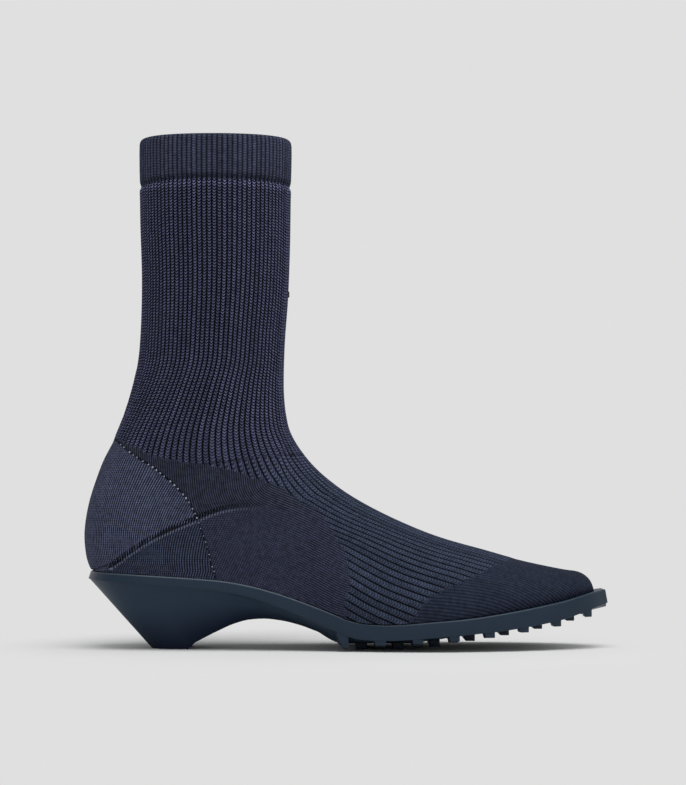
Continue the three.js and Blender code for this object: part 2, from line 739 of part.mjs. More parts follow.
// The middle row stands between the side lugs, with level bottoms
function middleLug(k) {
  const { middle: rear, length } = lugPlace(k);
  const middle = (rear + lugPlace(k + 1).middle) / 2;
  return block((isFront, isLeft, isTop) => {
    const x = middle + (isFront ? length / 2 : -length / 2 + (isTop ? 0 : LUG_RAMP));
    const z = treadHeight(middle, 0) + (isTop ? LUG_DEPTH + LUG_ROOT : 0);
    return new THREE.Vector3(x, soleAcross(middle, MIDDLE_LUG_OUTSIDE, isLeft ? 1 : -1), z);
  });
}

function lugs() {
  const made = [];
  for (let k = 0; k <= lugGaps; k++) {
    made.push(sideLug(k, 1), sideLug(k, -1));
    if (k < lugGaps) made.push(middleLug(k));
  }
  return made;
}

// Stations along the sole, crowded round the heel
const heelCrowded = (share) => lerp(share * share, share, clamp(share * 2, 0, 1));

function soleGeometry() {
  const rings = [];
  for (let k = 0; k <= SOLE_STATIONS; k++) rings.push(soleRing(heelCrowded(k / SOLE_STATIONS)));
  return new LoftGeometry(rings, { capEnd: true });
}

function solid(geometry) {
  const bare = new THREE.BufferGeometry();
  bare.setAttribute('position', geometry.getAttribute('position'));
  bare.setIndex(geometry.getIndex());
  const merged = withoutSlivers(mergeVertices(bare, WELD));
  const vertProperties = Float32Array.from(merged.getAttribute('position').array);
  const triVerts = Uint32Array.from(merged.getIndex().array);
  return new wasm.Manifold(new wasm.Mesh({ numProp: 3, vertProperties, triVerts }));
}

function geometryOf(body) {
  const mesh = body.getMesh();
  const geometry = new THREE.BufferGeometry();
  geometry.setAttribute('position', new THREE.BufferAttribute(mesh.vertProperties, 3));
  geometry.setIndex(new THREE.BufferAttribute(mesh.triVerts, 1));
  geometry.computeVertexNormals();
  return geometry;
}

const group = new THREE.Group();
function addNode(name, geometry, look) {
  const mesh = new THREE.Mesh(geometry, look);
  mesh.name = name;
  group.add(mesh);
}

const outsole = lugs().reduce((body, lug) => body.add(lug), solid(soleGeometry()));
addNode('outsole', geometryOf(outsole), RUBBER);
const insole = solid(insoleGeometry()).subtract(solid(upperGeometry(GAP)));
addNode('insole', geometryOf(insole), FOOTBED);
addNode('upper', upperGeometry(), KNIT);

export default group;
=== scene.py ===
"""Looks of a knitted sock boot on a moulded unit sole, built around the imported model.

Sizes are in millimetres, in the frame's axes: +X to the toe, +Y to the inner side of the foot, +Z up.
They are turned to metres where a mesh is made.
"""
import math
import random

import bmesh
import bpy
import numpy as np
from mathutils import Matrix, Vector


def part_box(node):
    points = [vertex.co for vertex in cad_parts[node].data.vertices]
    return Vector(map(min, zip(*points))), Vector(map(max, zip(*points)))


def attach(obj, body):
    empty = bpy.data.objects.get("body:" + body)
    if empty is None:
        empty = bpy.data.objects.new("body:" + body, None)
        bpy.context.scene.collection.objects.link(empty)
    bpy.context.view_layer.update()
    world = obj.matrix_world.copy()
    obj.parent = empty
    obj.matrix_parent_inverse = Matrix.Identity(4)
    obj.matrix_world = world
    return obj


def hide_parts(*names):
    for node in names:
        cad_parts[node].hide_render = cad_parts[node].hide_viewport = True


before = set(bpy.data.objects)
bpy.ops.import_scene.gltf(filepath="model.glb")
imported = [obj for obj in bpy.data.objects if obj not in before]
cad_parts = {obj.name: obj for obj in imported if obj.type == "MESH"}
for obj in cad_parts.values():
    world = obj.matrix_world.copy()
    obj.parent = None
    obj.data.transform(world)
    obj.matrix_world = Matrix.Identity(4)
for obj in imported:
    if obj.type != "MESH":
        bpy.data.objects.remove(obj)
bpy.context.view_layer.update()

MM = 0.001
BODY = "root"
# Vertices nearer than WELD, in mm, are one. The length of a direction counts as TINY at least
WELD = 1e-3
TINY = 1e-9

# Overall sizes
sole_box = [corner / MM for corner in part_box("outsole")]
upper_box = [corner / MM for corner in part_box("upper")]
TIP = sole_box[1].x
LENGTH = 2 * TIP
REAR = -TIP
BOOT_HEIGHT = upper_box[1].z
BALL_WIDTH = 86
HEEL_WIDTH = 59

# Upper. From MELT_LOW to MELT_HIGH, shares of the way up to the ankle, the foot's form becomes the shaft's
WALL = 2
SHAFT_DEPTH = 75
SHAFT_WIDTH = 66
SHAFT_SET_BACK = 29.1
ANKLE_HEIGHT = 135
INSTEP_HEIGHT = 83.4
CUFF_HEIGHT = 21.6
NOTCH_DEPTH = 1
RIDGE_LEAN = 4
HEEL_FADE = 70
SIDE_BULGE = 0.05
MELT_LOW = 0.24
MELT_HIGH = 0.82
HIDDEN_SLOPE = 0.45
DOME_TOP = 1.9
DOME_SIDE = 0.5

# Unit sole
HEEL_HEIGHT = 39.3
BALL_TOP = 13.3
TOE_TOP = 29.9
BAND_HEIGHT = 8
BAND_DRAFT = 1
BAND_STEP = 0.6
EDGE_FILLET = 0.8
LOWER_FILLET = 0.4
HEEL_LEDGE = 0.6
TOE_LEDGE = 3.5
TOE_SHELF = 6.5
ARCH_HEIGHT = 15.2
HEEL_LEAN = 31.8
HEEL_BLEND = 71.3
HEEL_OVERHANG = 2.4
PLATE_CHAMFER = 0.2
FLANK_HOLLOW = 0.85
HEEL_AT = 0.16
BALL_AT = 0.68
LEDGE_WIDENS = 0.6
TREAD_BEGINS = 0.44
TREAD_FULL = 0.51

# Tread
LUG_DEPTH = 2.5
LUG_LENGTH = 6.6
TOE_LUG_LENGTH = 5
LUG_PITCH = 17.6
LUG_RAMP = 1.2
LUG_ROOT = 1.5
LUG_INSET = 0.3
FIRST_LUG_RAMP = 4
TOE_LUG_BACK = 11.6
EDGE_LIFT = 3.4
TREAD_TOE_HEIGHT = 18.5
MIDDLE_LUG_OUTSIDE = 0.42
SIDE_LUG_INSIDE = 0.52
FIRST_LUG_AT = 0.4932
LUG_CLOSING = 0.068

# Footbed
INSOLE_THICKNESS = 3
INSOLE_SETBACK = 8
GAP = 0.3
FOOTBED_ROWS = 60
FOOTBED_COLUMNS = 16
FOOTBED_DISH = 0.5
FOOTBED_SIDE_ROOM = 0.4
FOOTBED_LOWER = 0.1
FOOTBED_SHORTER = 1
FOOTBED_THINNER = 0.7
FOOTBED_EDGE = 0.5

# Places that follow from the sizes
SOLE_REAR = REAR + HEEL_OVERHANG
NOSE = TIP - TOE_SHELF
HEEL_CORNER = SOLE_REAR + BAND_DRAFT + HEEL_LEDGE
SHAFT_BACK = REAR + SHAFT_SET_BACK
INSTEP_START = SHAFT_BACK + SHAFT_DEPTH
HEEL_ROUND = HEEL_WIDTH / 3

# Sole's top and band: share of the length, of the rise to the heel, of the rise to the toe, of the band
SOLE_PROFILE = [
    (0, 1, 0, 0.51), (0.223, 0.862, 0, 0.6), (0.27, 0.819, 0, 0.65), (0.317, 0.735, 0, 0.7),
    (0.365, 0.608, 0, 0.8), (0.412, 0.45, 0, 0.88), (0.46, 0.269, 0, 0.99), (0.488, 0.154, 0, 1),
    (0.504, 0.085, 0, 1), (0.54, 0.015, 0, 0.98), (0.577, 0, 0, 0.95), (0.666, 0, 0.096, 0.96),
    (0.732, 0, 0.19, 0.97), (0.797, 0, 0.337, 1.06), (0.903, 0, 0.639, 1.12), (0.966, 0, 0.89, 1),
    (1, 0, 1, 0.89),
]
# Underside behind the tread: share of the length, of the arch height
ARCH_PROFILE = [
    (0.128, 0), (0.202, 0), (0.212, 0.17), (0.224, 0.29), (0.258, 0.59), (0.292, 0.85), (0.319, 0.97),
    (0.346, 1), (0.376, 0.95), (0.41, 0.82), (0.444, 0.62), (0.478, 0.38), (0.505, 0.17),
]
# Half width of the underside's edge: share of the length, of the sole's half width above it
KEEL = [
    (0, 0.54), (0.14, 0.54), (0.21, 0.5), (0.27, 0.43), (0.345, 0.4), (0.405, 0.46), (0.447, 0.6),
    (0.48, 0.8), (0.51, 0.94), (1, 0.94),
]
# Lugs' bottoms: share of the length, of the height at the tip, of the outer edge's lift
TREAD_PROFILE = [
    (0.49, 0, 0.5), (0.564, 0, 1), (0.615, 0, 1.25), (0.66, 0.07, 1), (0.702, 0.17, 0.7),
    (0.769, 0.3, 0.45), (0.83, 0.46, 0.25), (0.894, 0.62, 0.12), (0.953, 0.86, 0), (1, 1, 0),
]
# Plan of the foot: share of its length, then inner and outer half widths as shares
HEEL_PLAN = [
    (0, 0, 0), (0.002, 0.185, 0.185), (0.009, 0.388, 0.388), (0.023, 0.602, 0.602), (0.047, 0.8, 0.8),
    (0.078, 0.918, 0.918), (0.115, 0.98, 0.98), (0.16, 1, 1),
]
FOREFOOT_PLAN = [
    (0.235, 0.665, 0.7), (0.31, 0.625, 0.71), (0.41, 0.635, 0.755), (0.505, 0.745, 0.86),
    (0.585, 0.88, 0.955), (0.65, 0.965, 0.99), (0.705, 0.985, 0.965), (0.76, 0.96, 0.88),
    (0.82, 0.885, 0.755), (0.88, 0.755, 0.565), (0.93, 0.61, 0.385), (0.97, 0.46, 0.215), (1, 0.3, 0.03),
]
# Back of the upper: height (0 sole, 1 ankle, 2 collar), share of the set-back
BACK_PROFILE = [
    (0, 0.115), (0.05, 0.052), (0.105, 0.018), (0.182, 0), (0.265, 0.022), (0.37, 0.089), (0.476, 0.196),
    (0.58, 0.325), (0.69, 0.515), (0.8, 0.665), (0.9, 0.773), (1, 0.86), (1.09, 0.94), (1.214, 0.982),
    (1.428, 1), (1.68, 0.966), (2, 0.95),
]
# Front of the shaft: height, share of the shaft's depth
FRONT_PROFILE = [
    (2, 1.01), (1.763, 1.005), (1.551, 1), (1.343, 0.987), (1.17, 0.967), (1, 0.959), (0.9, 0.964),
    (0.81, 0.979),
]
# Ridge from the instep to the nose: share of the way, share of the instep's height over the sole
RIDGE_PROFILE = [
    (0.002, 0.99), (0.036, 0.899), (0.089, 0.814), (0.174, 0.754), (0.286, 0.672), (0.427, 0.541),
    (0.516, 0.468), (0.64, 0.378), (0.759, 0.281), (0.903, 0.172), (0.956, 0.13), (0.983, 0.088),
    (0.996, 0.05), (1, 0),
]
# Half widths of the shaft: height, share of half the width
SHAFT_PROFILE = [
    (0, 0.98), (0.5, 0.93), (0.85, 0.87), (1.05, 0.87), (1.4, 0.95), (1.7, 1), (2, 1.02),
]
# Hem at the collar: share of the cuff's height down, stand outside in notch depths, stand inside in mm
HEM = [
    (0, -1.5, 0), (0.015, -0.75, -0.5), (0.05, -0.1, -0.8), (0.11, 0.22, -0.8), (0.3, 0.32, -0.8),
    (0.6, 0.28, -0.8), (0.8, 0.18, -0.8), (0.86, 0.05, -0.6), (0.91, -0.3, -0.4), (0.95, -0.7, 0),
    (0.98, -0.6, 0), (1.01, -0.15, 0), (1.06, 0.1, 0), (1.25, 0, 0),
]
# Fan of rows from the cuff to the nose: place on the ridge, place on the edge, rows
FAN = [
    (0.9, 0.9, 22), (1.126, 1.325, 24), (1.244, 1.714, 18), (1.313, 2, 14), (1.341, 2.034, 6),
    (1.475, 2.21, 20), (1.614, 2.508, 26), (1.734, 2.7, 20), (1.861, 2.855, 18), (1.958, 2.958, 14),
    (2, 3, 12),
]


def slopes_of(xs, ys):
    """Slopes that never let a curve overshoot its rows."""
    secants = np.diff(ys) / np.diff(xs)
    before, after = secants[:-1], secants[1:]
    product = before * after
    both = np.where(product > 0, before + after, 1)
    inside = np.where(product > 0, 2 * product / both, 0)
    return np.concatenate([secants[:1], inside, secants[-1:]])


def through(rows, column, warp=None):
    """Smooth function through one column of a table."""
    bend = warp or (lambda value: value)
    xs = bend(np.array([row[0] for row in rows], float))
    ys = np.array([row[column] for row in rows], float)
    slopes = slopes_of(xs, ys)

    def read(value):
        x = np.clip(bend(np.asarray(value, float)), xs[0], xs[-1])
        i = np.clip(np.searchsorted(xs, x) - 1, 0, len(xs) - 2)
        step = xs[i + 1] - xs[i]
        t = (x - xs[i]) / step
        rest = 1 - t
        ends = ys[i] * (1 + 2 * t) * rest * rest + ys[i + 1] * t * t * (3 - 2 * t)
        return ends + step * t * rest * (slopes[i] * rest - slopes[i + 1] * t)

    return read


def smooth(value, low, high):
    t = np.clip((value - low) / (high - low), 0, 1)
    return t * t * (3 - 2 * t)


def lerp(a, b, t):
    return a + (b - a) * t


def crowded(share):
    """Even shares of a length drawn closer together at the heel."""
    return lerp(share * share, share, np.clip(share * 2, 0, 1))


# Sole, seen from the side
heel_rise = through(SOLE_PROFILE, 1)
toe_rise = through(SOLE_PROFILE, 2)
band_share = through(SOLE_PROFILE, 3)
arch_share = through(ARCH_PROFILE, 1)
keel_share = through(KEEL, 1)
tread_share = through(TREAD_PROFILE, 1)
lift_share = through(TREAD_PROFILE, 2)


def share_of_length(x):
    return np.clip((x - REAR) / LENGTH, 0, 1)


def sole_top(x):
    at = share_of_length(x)
    return BALL_TOP + heel_rise(at) * (HEEL_HEIGHT - BALL_TOP) + toe_rise(at) * (TOE_TOP - BALL_TOP)


def band_low(x):
    return sole_top(x) - BAND_HEIGHT * band_share(share_of_length(x))


def tread_height(x, across):
    at = share_of_length(x)
    return TREAD_TOE_HEIGHT * tread_share(at) + EDGE_LIFT * lift_share(at) * across * across


def ledge_at(at):
    return lerp(HEEL_LEDGE, TOE_LEDGE, smooth(at, LEDGE_WIDENS, 1)) + BAND_DRAFT


def feather(x):
    return sole_top(x) + GAP


# Plan of the foot
heel_half = HEEL_WIDTH / 2 - ledge_at(HEEL_AT)
ball_half = BALL_WIDTH / 2 - ledge_at(BALL_AT)
PLAN = [(at, inner * heel_half, outer * heel_half) for at, inner, outer in HEEL_PLAN]
PLAN += [(at, inner * ball_half, outer * ball_half) for at, inner, outer in FOREFOOT_PLAN]
plan_inner = through(PLAN, 1, np.sqrt)
plan_outer = through(PLAN, 2, np.sqrt)


def plan_middle(at):
    return (plan_inner(at) - plan_outer(at)) / 2


def plan_half(at):
    return (plan_inner(at) + plan_outer(at)) / 2


def height_at(up):
    low = lerp(HEEL_HEIGHT + GAP, ANKLE_HEIGHT, up)
    high = lerp(ANKLE_HEIGHT, BOOT_HEIGHT, up - 1)
    return np.where(np.asarray(up) < 1, low, high)


def run_along(line):
    """How far along a line each of its points is."""
    return np.concatenate([[0], np.cumsum(np.linalg.norm(np.diff(line, axis=0), axis=1))])


def evenly(line, steps):
    """Points at equal steps along a line."""
    run = run_along(line)
    even = np.linspace(0, run[-1], steps + 1)
    return np.column_stack([np.interp(even, run, places) for places in line.T])


def smooth_path(points, samples=900, between=40):
    """Even points along a centripetal curve through the given ones, each (x, z)."""
    points = np.array(points, float)
    first, last = 2 * points[0] - points[1], 2 * points[-1] - points[-2]
    full = np.vstack([first, points, last])
    t = np.linspace(0, 1, between, endpoint=False)[:, None]
    pieces = []
    for a, b, c, d in zip(full, full[1:], full[2:], full[3:]):
        ab, bc, cd = (math.sqrt(np.linalg.norm(q - p)) for p, q in ((a, b), (b, c), (c, d)))
        leave = ((b - a) / ab - (c - a) / (ab + bc) + (c - b) / bc) * bc
        reach = ((c - b) / bc - (d - b) / (bc + cd) + (d - c) / cd) * bc
        cubic = 2 * b - 2 * c + leave + reach
        square = 3 * c - 3 * b - 2 * leave - reach
        pieces.append(b + leave * t + square * t**2 + cubic * t**3)
    return evenly(np.vstack(pieces + [points[-1:]]), samples)


back_path = smooth_path([(REAR + lean * SHAFT_SET_BACK, height_at(up)) for up, lean in BACK_PROFILE])
front_points = [(SHAFT_BACK + ahead * SHAFT_DEPTH, height_at(up)) for up, ahead in FRONT_PROFILE]
for ahead, over in RIDGE_PROFILE:
    ridge_x = lerp(INSTEP_START, NOSE, ahead)
    front_points.append((ridge_x, feather(ridge_x) + over * INSTEP_HEIGHT))
ridge_path = smooth_path(front_points)
hollow = np.argmin(ridge_path[:, 0])
shaft_half = through([(up, half * SHAFT_WIDTH / 2) for up, half in SHAFT_PROFILE], 1)
melt_low, melt_high = height_at(MELT_LOW), height_at(MELT_HIGH)


def up_of(z):
    low = (z - HEEL_HEIGHT - GAP) / (ANKLE_HEIGHT - HEEL_HEIGHT - GAP)
    high = 1 + (z - ANKLE_HEIGHT) / (BOOT_HEIGHT - ANKLE_HEIGHT)
    return np.where(z < ANKLE_HEIGHT, low, high)


def back_at(z):
    return np.interp(z, back_path[:, 1], back_path[:, 0])


def front_at(z):
    return np.interp(z, ridge_path[::-1, 1], ridge_path[::-1, 0])


def foot_top(x):
    front = ridge_path[hollow]
    on_ridge = np.interp(x, ridge_path[hollow:, 0], ridge_path[hollow:, 1])
    return np.where(x > front[0], on_ridge, front[1] + HIDDEN_SLOPE * (front[0] - x))


def surface_y(x, z, side):
    """Where the upper's surface lies across the foot: side is +1 inner, -1 outer."""
    back = back_at(z)
    fade = 1 - smooth(x - back, 0, HEEL_FADE)
    at = np.clip((x - HEEL_CORNER - (back - HEEL_CORNER) * fade) / (NOSE - HEEL_CORNER), 0, 1)
    low = feather(x)
    rise = np.clip((z - low) / np.maximum(foot_top(x) - low, GAP), 0, 1)
    dome = (1 - rise**DOME_TOP) ** DOME_SIDE * (1 + 4 * SIDE_BULGE * rise * (1 - rise))
    foot_y = plan_middle(at) + RIDGE_LEAN * rise * rise + side * plan_half(at) * dome
    front = front_at(z)
    across = np.clip((2 * x - front - back) / (front - back), -1, 1)
    shaft_y = side * shaft_half(up_of(z)) * np.sqrt(1 - across * across)
    return lerp(foot_y, shaft_y, smooth(z, melt_low, melt_high))


# Rows of the upper's surface
HALF_COLUMNS = 176
RIBS = 44
GIRTH_SAMPLES = 160


def ridge_place(ridge):
    if ridge < 1:
        z = height_at(2 - ridge)
        return front_at(z), z
    ankle = np.argmax(ridge_path[:, 1] <= ANKLE_HEIGHT)
    at = lerp(ankle, len(ridge_path) - 1, ridge - 1)
    return tuple(np.interp(at, np.arange(len(ridge_path)), ridge_path[:, k]) for k in (0, 1))


def edge_place(edge):
    if edge > 2:
        x = lerp(HEEL_CORNER, NOSE, edge - 2)
        return x, feather(x)
    z = height_at(2 - edge)
    return (back_at(z) if edge < 2 else HEEL_CORNER), z


def row_plans():
    """Each row: place on the ridge, place on the edge, stand outside, stand inside."""
    down = CUFF_HEIGHT / (BOOT_HEIGHT - ANKLE_HEIGHT)
    plans = [(share * down, share * down, out * NOTCH_DEPTH, inside) for share, out, inside in HEM]
    knots = [(0, *plans[-1][:2])]
    for ridge, edge, rows in FAN:
        knots.append((knots[-1][0] + rows, ridge, edge))
    ridge_of, edge_of = through(knots, 1), through(knots, 2)
    for k in range(1, knots[-1][0] + 1):
        plans.append((ridge_of(k), edge_of(k), 0, 0))
    return plans


def half_row(ridge, edge, side, is_closed):
    """Points from the ridge to the edge in equal steps along the girth, and the girth itself."""
    share = (1 - np.cos(np.pi * np.linspace(0, 1, GIRTH_SAMPLES + 1))) / 2
    x, z = lerp(ridge[0], edge[0], share), lerp(ridge[1], edge[1], share)
    y = surface_y(x, z, side)
    middle = (surface_y(x, z, 1) + surface_y(x, z, -1)) / 2
    y[0] = middle[0]
    if is_closed:
        y[-1] = middle[-1]
    line = np.column_stack([x, y, z])
    return evenly(line, HALF_COLUMNS), run_along(line)[-1]


def nose_row(side):
    end = plan_inner(1) if side > 0 else -plan_outer(1)
    y = lerp(plan_middle(1), end, np.linspace(0, 1, HALF_COLUMNS + 1))
    return np.column_stack([np.full_like(y, NOSE), y, np.full_like(y, feather(NOSE))])


plans = row_plans()
rows, girths = [], []
for ridge, edge, _, _ in plans:
    halves, lengths = [], []
    for side in (1, -1):
        if edge >= 3:
            points, girth = nose_row(side), plan_half(1)
        else:
            points, girth = half_row(ridge_place(ridge), edge_place(edge), side, edge <= 2)
        halves.append(points)
        lengths.append(girth)
    rows.append(np.vstack([halves[0][::-1], halves[1][1:]]))
    girths.append(sum(lengths) / 2)
skin = np.array(rows)
girths = np.array(girths)
ROWS, COLUMNS = skin.shape[:2]
ridges, edges, stands, inner_stands = np.array(plans).T
closed = edges <= 2
on_sole = edges >= 2


def outward_of(points):
    """Outward directions of the skin's grid, level at the collar and along the sole."""
    along = np.gradient(points, axis=0)
    around = np.gradient(points, axis=1)
    wrap = points[:, 1] - points[:, -2]
    around[closed, 0] = wrap[closed] / 2
    around[closed, -1] = wrap[closed] / 2
    normal = np.cross(around, along)
    for place in ((on_sole, 0), (on_sole, -1), (0, slice(None))):
        normal[(*place, 2)] = 0
    return normal / np.maximum(np.linalg.norm(normal, axis=2, keepdims=True), TINY)


outward = outward_of(skin)
outward[-1] = (1, 0, 0)


# Lines on the upper, seen from the side: share of the length, share of the ankle's height
RIB_EDGE = [
    (0.02, 0.8), (0.064, 0.781), (0.133, 0.72), (0.191, 0.693), (0.285, 0.664), (0.322, 0.634),
    (0.371, 0.605), (0.412, 0.55), (0.454, 0.503), (0.48, 0.43), (0.499, 0.363), (0.508, 0.269),
    (0.5, 0.17), (0.498, 0.08),
]
TOE_EDGE = [
    (0.6, 0.08), (0.623, 0.123), (0.657, 0.199), (0.706, 0.245), (0.783, 0.31), (0.819, 0.333),
    (0.86, 0.385), (0.89, 0.44),
]
HEEL_SEAM = [
    (0.064, 0.777), (0.1, 0.721), (0.137, 0.676), (0.159, 0.642), (0.181, 0.605), (0.2, 0.564),
    (0.214, 0.521), (0.223, 0.484), (0.2325, 0.433), (0.24, 0.39), (0.246, 0.35), (0.2495, 0.3185),
    (0.255, 0.29), (0.26, 0.24),
]
GORE = [
    (0.06, 0.31), (0.078, 0.3365), (0.096, 0.3615), (0.135, 0.41), (0.171, 0.444), (0.219, 0.484),
    (0.249, 0.508), (0.277, 0.524), (0.323, 0.533), (0.36, 0.53),
]
WALE_LINE = [
    (0.305, 0.72), (0.308, 0.634), (0.312, 0.589), (0.328, 0.544), (0.362, 0.51), (0.405, 0.476),
    (0.453, 0.431), (0.52, 0.36),
]
# Run of the knit: pitch and slope of the foot's ribs and where they begin, shear of the heel's wales, fan of
# the toe's
FOOT_RIB = 3.9
PITCH_CHANGES = (0.9, 1.6)
FOOT_GROWS = (1.02, 1.35)
RIB_SLOPE = math.radians(25)
WALE_SHEAR = 0.25
SHEAR_GROWS = (8, 50)
HEEL_SPREAD = 0.85
TOE_BEGINS = 60
TOE_REACH = 60
TOE_RISE = 18
TOE_FALL = 18


def side_line(rows):
    return smooth_path([(REAR + x * LENGTH, z * ANKLE_HEIGHT) for x, z in rows], samples=160)


def beside(points, line):
    """Signed distance from a side line, positive on its left, and the run along it."""
    flat = points[..., (0, 2)].reshape(-1, 2)
    start, step = line[:-1], np.diff(line, axis=0)
    length = np.linalg.norm(step, axis=1)
    run = run_along(line)
    best = np.full(len(flat), np.inf)
    signed, along = np.zeros(len(flat)), np.zeros(len(flat))
    for k in range(len(step)):
        offset = flat - start[k]
        t = np.clip(offset @ step[k] / length[k] ** 2, 0, 1)
        gap = np.linalg.norm(offset - t[:, None] * step[k], axis=1)
        side = np.sign(step[k][0] * offset[:, 1] - step[k][1] * offset[:, 0])
        near = gap < best
        best[near] = gap[near]
        signed[near] = (gap * side)[near]
        along[near] = run[k] + (t * length[k])[near]
    return signed.reshape(points.shape[:2]), along.reshape(points.shape[:2])


girth_run = np.abs(np.arange(COLUMNS) - HALF_COLUMNS)[None, :] / HALF_COLUMNS * girths[:, None]
pitch = lerp(girths / RIBS, FOOT_RIB, smooth(ridges, *PITCH_CHANGES))
steps_down = np.linalg.norm(np.diff(skin, axis=0), axis=2)
heel_round = HEEL_WIDTH / 2 - BAND_DRAFT
behind = skin[..., 0] - back_at(skin[..., 2])
turned = heel_round * np.arccos(np.clip(1 - behind / heel_round, 0, 1))
heel_around = turned + np.maximum(behind - heel_round, 0)
heel_sheared = WALE_SHEAR * smooth(behind, *SHEAR_GROWS) * (skin[..., 2] - 2 * HEEL_HEIGHT)
toe_run = (skin[..., 0] - TOE_BEGINS) / TOE_REACH
# The height stays the skin's own, so it follows the sag of the cuff
fields = {
    "rib": girth_run / pitch[:, None],
    "run": np.vstack([np.zeros(COLUMNS), np.cumsum(steps_down, axis=0)]),
    "foot": np.repeat(smooth(ridges, *FOOT_GROWS)[:, None], COLUMNS, axis=1),
    "height": skin[..., 2],
    "foot_run": skin[..., 0] * math.cos(RIB_SLOPE) - skin[..., 2] * math.sin(RIB_SLOPE),
    "heel_wale": HEEL_SPREAD * heel_around - heel_sheared,
    "toe_wale": girth_run + TOE_RISE * toe_run - TOE_FALL * np.maximum(toe_run, 0) ** 2,
}
fields["rib_edge"] = beside(skin, side_line(RIB_EDGE))[0]
fields["toe_edge"] = -beside(skin, side_line(TOE_EDGE))[0]
fields["heel_seam"] = beside(skin, side_line(HEEL_SEAM))[0]
fields["gore"], fields["gore_run"] = beside(skin, side_line(GORE))
fields["side_wale"] = beside(skin, side_line(WALE_LINE))[0]

# Relief of the knit: depth of the ribs, width of a groove on the foot as a share of a rib, how far the plain
# parts lie back, sag of the cuff's crease and lift of its rim
SHAFT_RELIEF = 0.7
CUFF_RELIEF = 0.4
FOOT_RELIEF = 0.55
GROOVE = 0.13
FOOT_LEVEL = 0.8
PLAIN_BACK = 0.12
BORDER = 1
CREASE_WIDTH = 2
CREASE_SAG = 1.5
RIM_LIFT = 1.2
RIM_LIFT_AT_ENDS = 2.3
FAR_SIDE = 0.6
crease_z = BOOT_HEIGHT - CUFF_HEIGHT
in_cuff = smooth(skin[..., 2], crease_z, crease_z + CREASE_WIDTH)
off_toe = 1 - smooth(fields["toe_edge"], -BORDER, BORDER)
ribbed = smooth(fields["rib_edge"], -BORDER, BORDER) * off_toe
wave = (1 - np.cos(2 * np.pi * fields["rib"])) / 2
apart = np.abs(fields["rib"] - np.round(fields["rib"]))
flat_top = 1 - np.exp(-((apart / GROOVE) ** 2))
shaft_relief = lerp(SHAFT_RELIEF, CUFF_RELIEF, in_cuff) * (wave - 0.5)
foot_relief = FOOT_RELIEF * (flat_top - FOOT_LEVEL)
relief = ribbed * lerp(shaft_relief, foot_relief, fields["foot"]) - (1 - ribbed) * PLAIN_BACK

# Soft troughs and ridges, shallower on the foot's inner side: share of the length, share of the ankle's
# height, reach along and up, height
CREASES = [
    (0.205, 0.65, 26, 9, -0.8), (0.15, 0.79, 22, 10, 0.5), (0.42, 0.62, 16, 14, 0.6),
    (0.56, 0.22, 24, 10, 0.4), (0.33, 0.43, 26, 12, -0.4), (0.22, 1.35, 14, 26, -0.5),
    (0.31, 1.15, 12, 24, -0.4), (0.27, 1.56, 16, 24, 0.5),
]
for at, up, reach_x, reach_z, rise in CREASES:
    along = (skin[..., 0] - REAR - at * LENGTH) / reach_x
    upwards = (skin[..., 2] - up * ANKLE_HEIGHT) / reach_z
    near = np.exp(-(along**2 + upwards**2))
    relief = relief + rise * near * np.where(skin[..., 1] < 0, 1, FAR_SIDE)

# The cuff's fold sags towards the front and the back, and its rim stands higher there
bow_share = (skin[..., 1] / (SHAFT_WIDTH / 2)) ** 2
in_top = smooth(skin[..., 2], crease_z - CUFF_HEIGHT, crease_z)
in_rim = np.clip((skin[..., 2] - crease_z) / CUFF_HEIGHT, 0, 1)
sag = CREASE_SAG * (bow_share - 1) * (1 - in_rim)
bow = in_top * (sag + in_rim * lerp(RIM_LIFT_AT_ENDS, RIM_LIFT, bow_share))
skin[..., 2] += bow


def moved_out(amount):
    """The skin moved outwards, with its lower edge kept on the sole."""
    moved = skin + outward * amount[..., None]
    for place in ((on_sole, 0), (on_sole, -1), (-1, slice(None))):
        moved[(*place, 2)] = feather(moved[(*place, 0)])
    return moved


outer = moved_out(relief + stands[:, None])
inner = moved_out(inner_stands[:, None] - WALL)


def new_object(name, bm, material):
    """A smooth piece in metres from a bmesh in millimetres."""
    bmesh.ops.scale(bm, vec=(MM, MM, MM), verts=bm.verts)
    mesh = bpy.data.meshes.new(name)
    for face in bm.faces:
        face.smooth = True
    bm.to_mesh(mesh)
    bm.free()
    made = bpy.data.objects.new(name, mesh)
    bpy.context.scene.collection.objects.link(made)
    mesh.materials.append(material)
    return made


def grid_onto(bm, places, values=None):
    """A grid laid over an array of places, with named values on its vertices. Gives its border columns."""
    values = values or {}
    rows_in, columns_in = places.shape[:2]
    for name in values:
        if name not in bm.verts.layers.float:
            bm.verts.layers.float.new(name)
    layers = {name: bm.verts.layers.float[name] for name in values}
    made = bmesh.ops.create_grid(bm, x_segments=columns_in - 1, y_segments=rows_in - 1, size=1)["verts"]
    border = []
    for vert in made:
        i = round((vert.co.y + 1) / 2 * (rows_in - 1))
        j = round((vert.co.x + 1) / 2 * (columns_in - 1))
        vert.co = places[i, j]
        for name, layer in layers.items():
            vert[layer] = values[name][i, j]
        if j in (0, columns_in - 1):
            border.append(vert)
    return border


def hex_colour(code):
    """An sRGB hex value as linear red, green, blue and alpha."""
    parts = [int(code[k:k + 2], 16) / 255 for k in (1, 3, 5)]
    return [part / 12.92 if part <= 0.04045 else ((part + 0.055) / 1.055) ** 2.4 for part in parts] + [1]


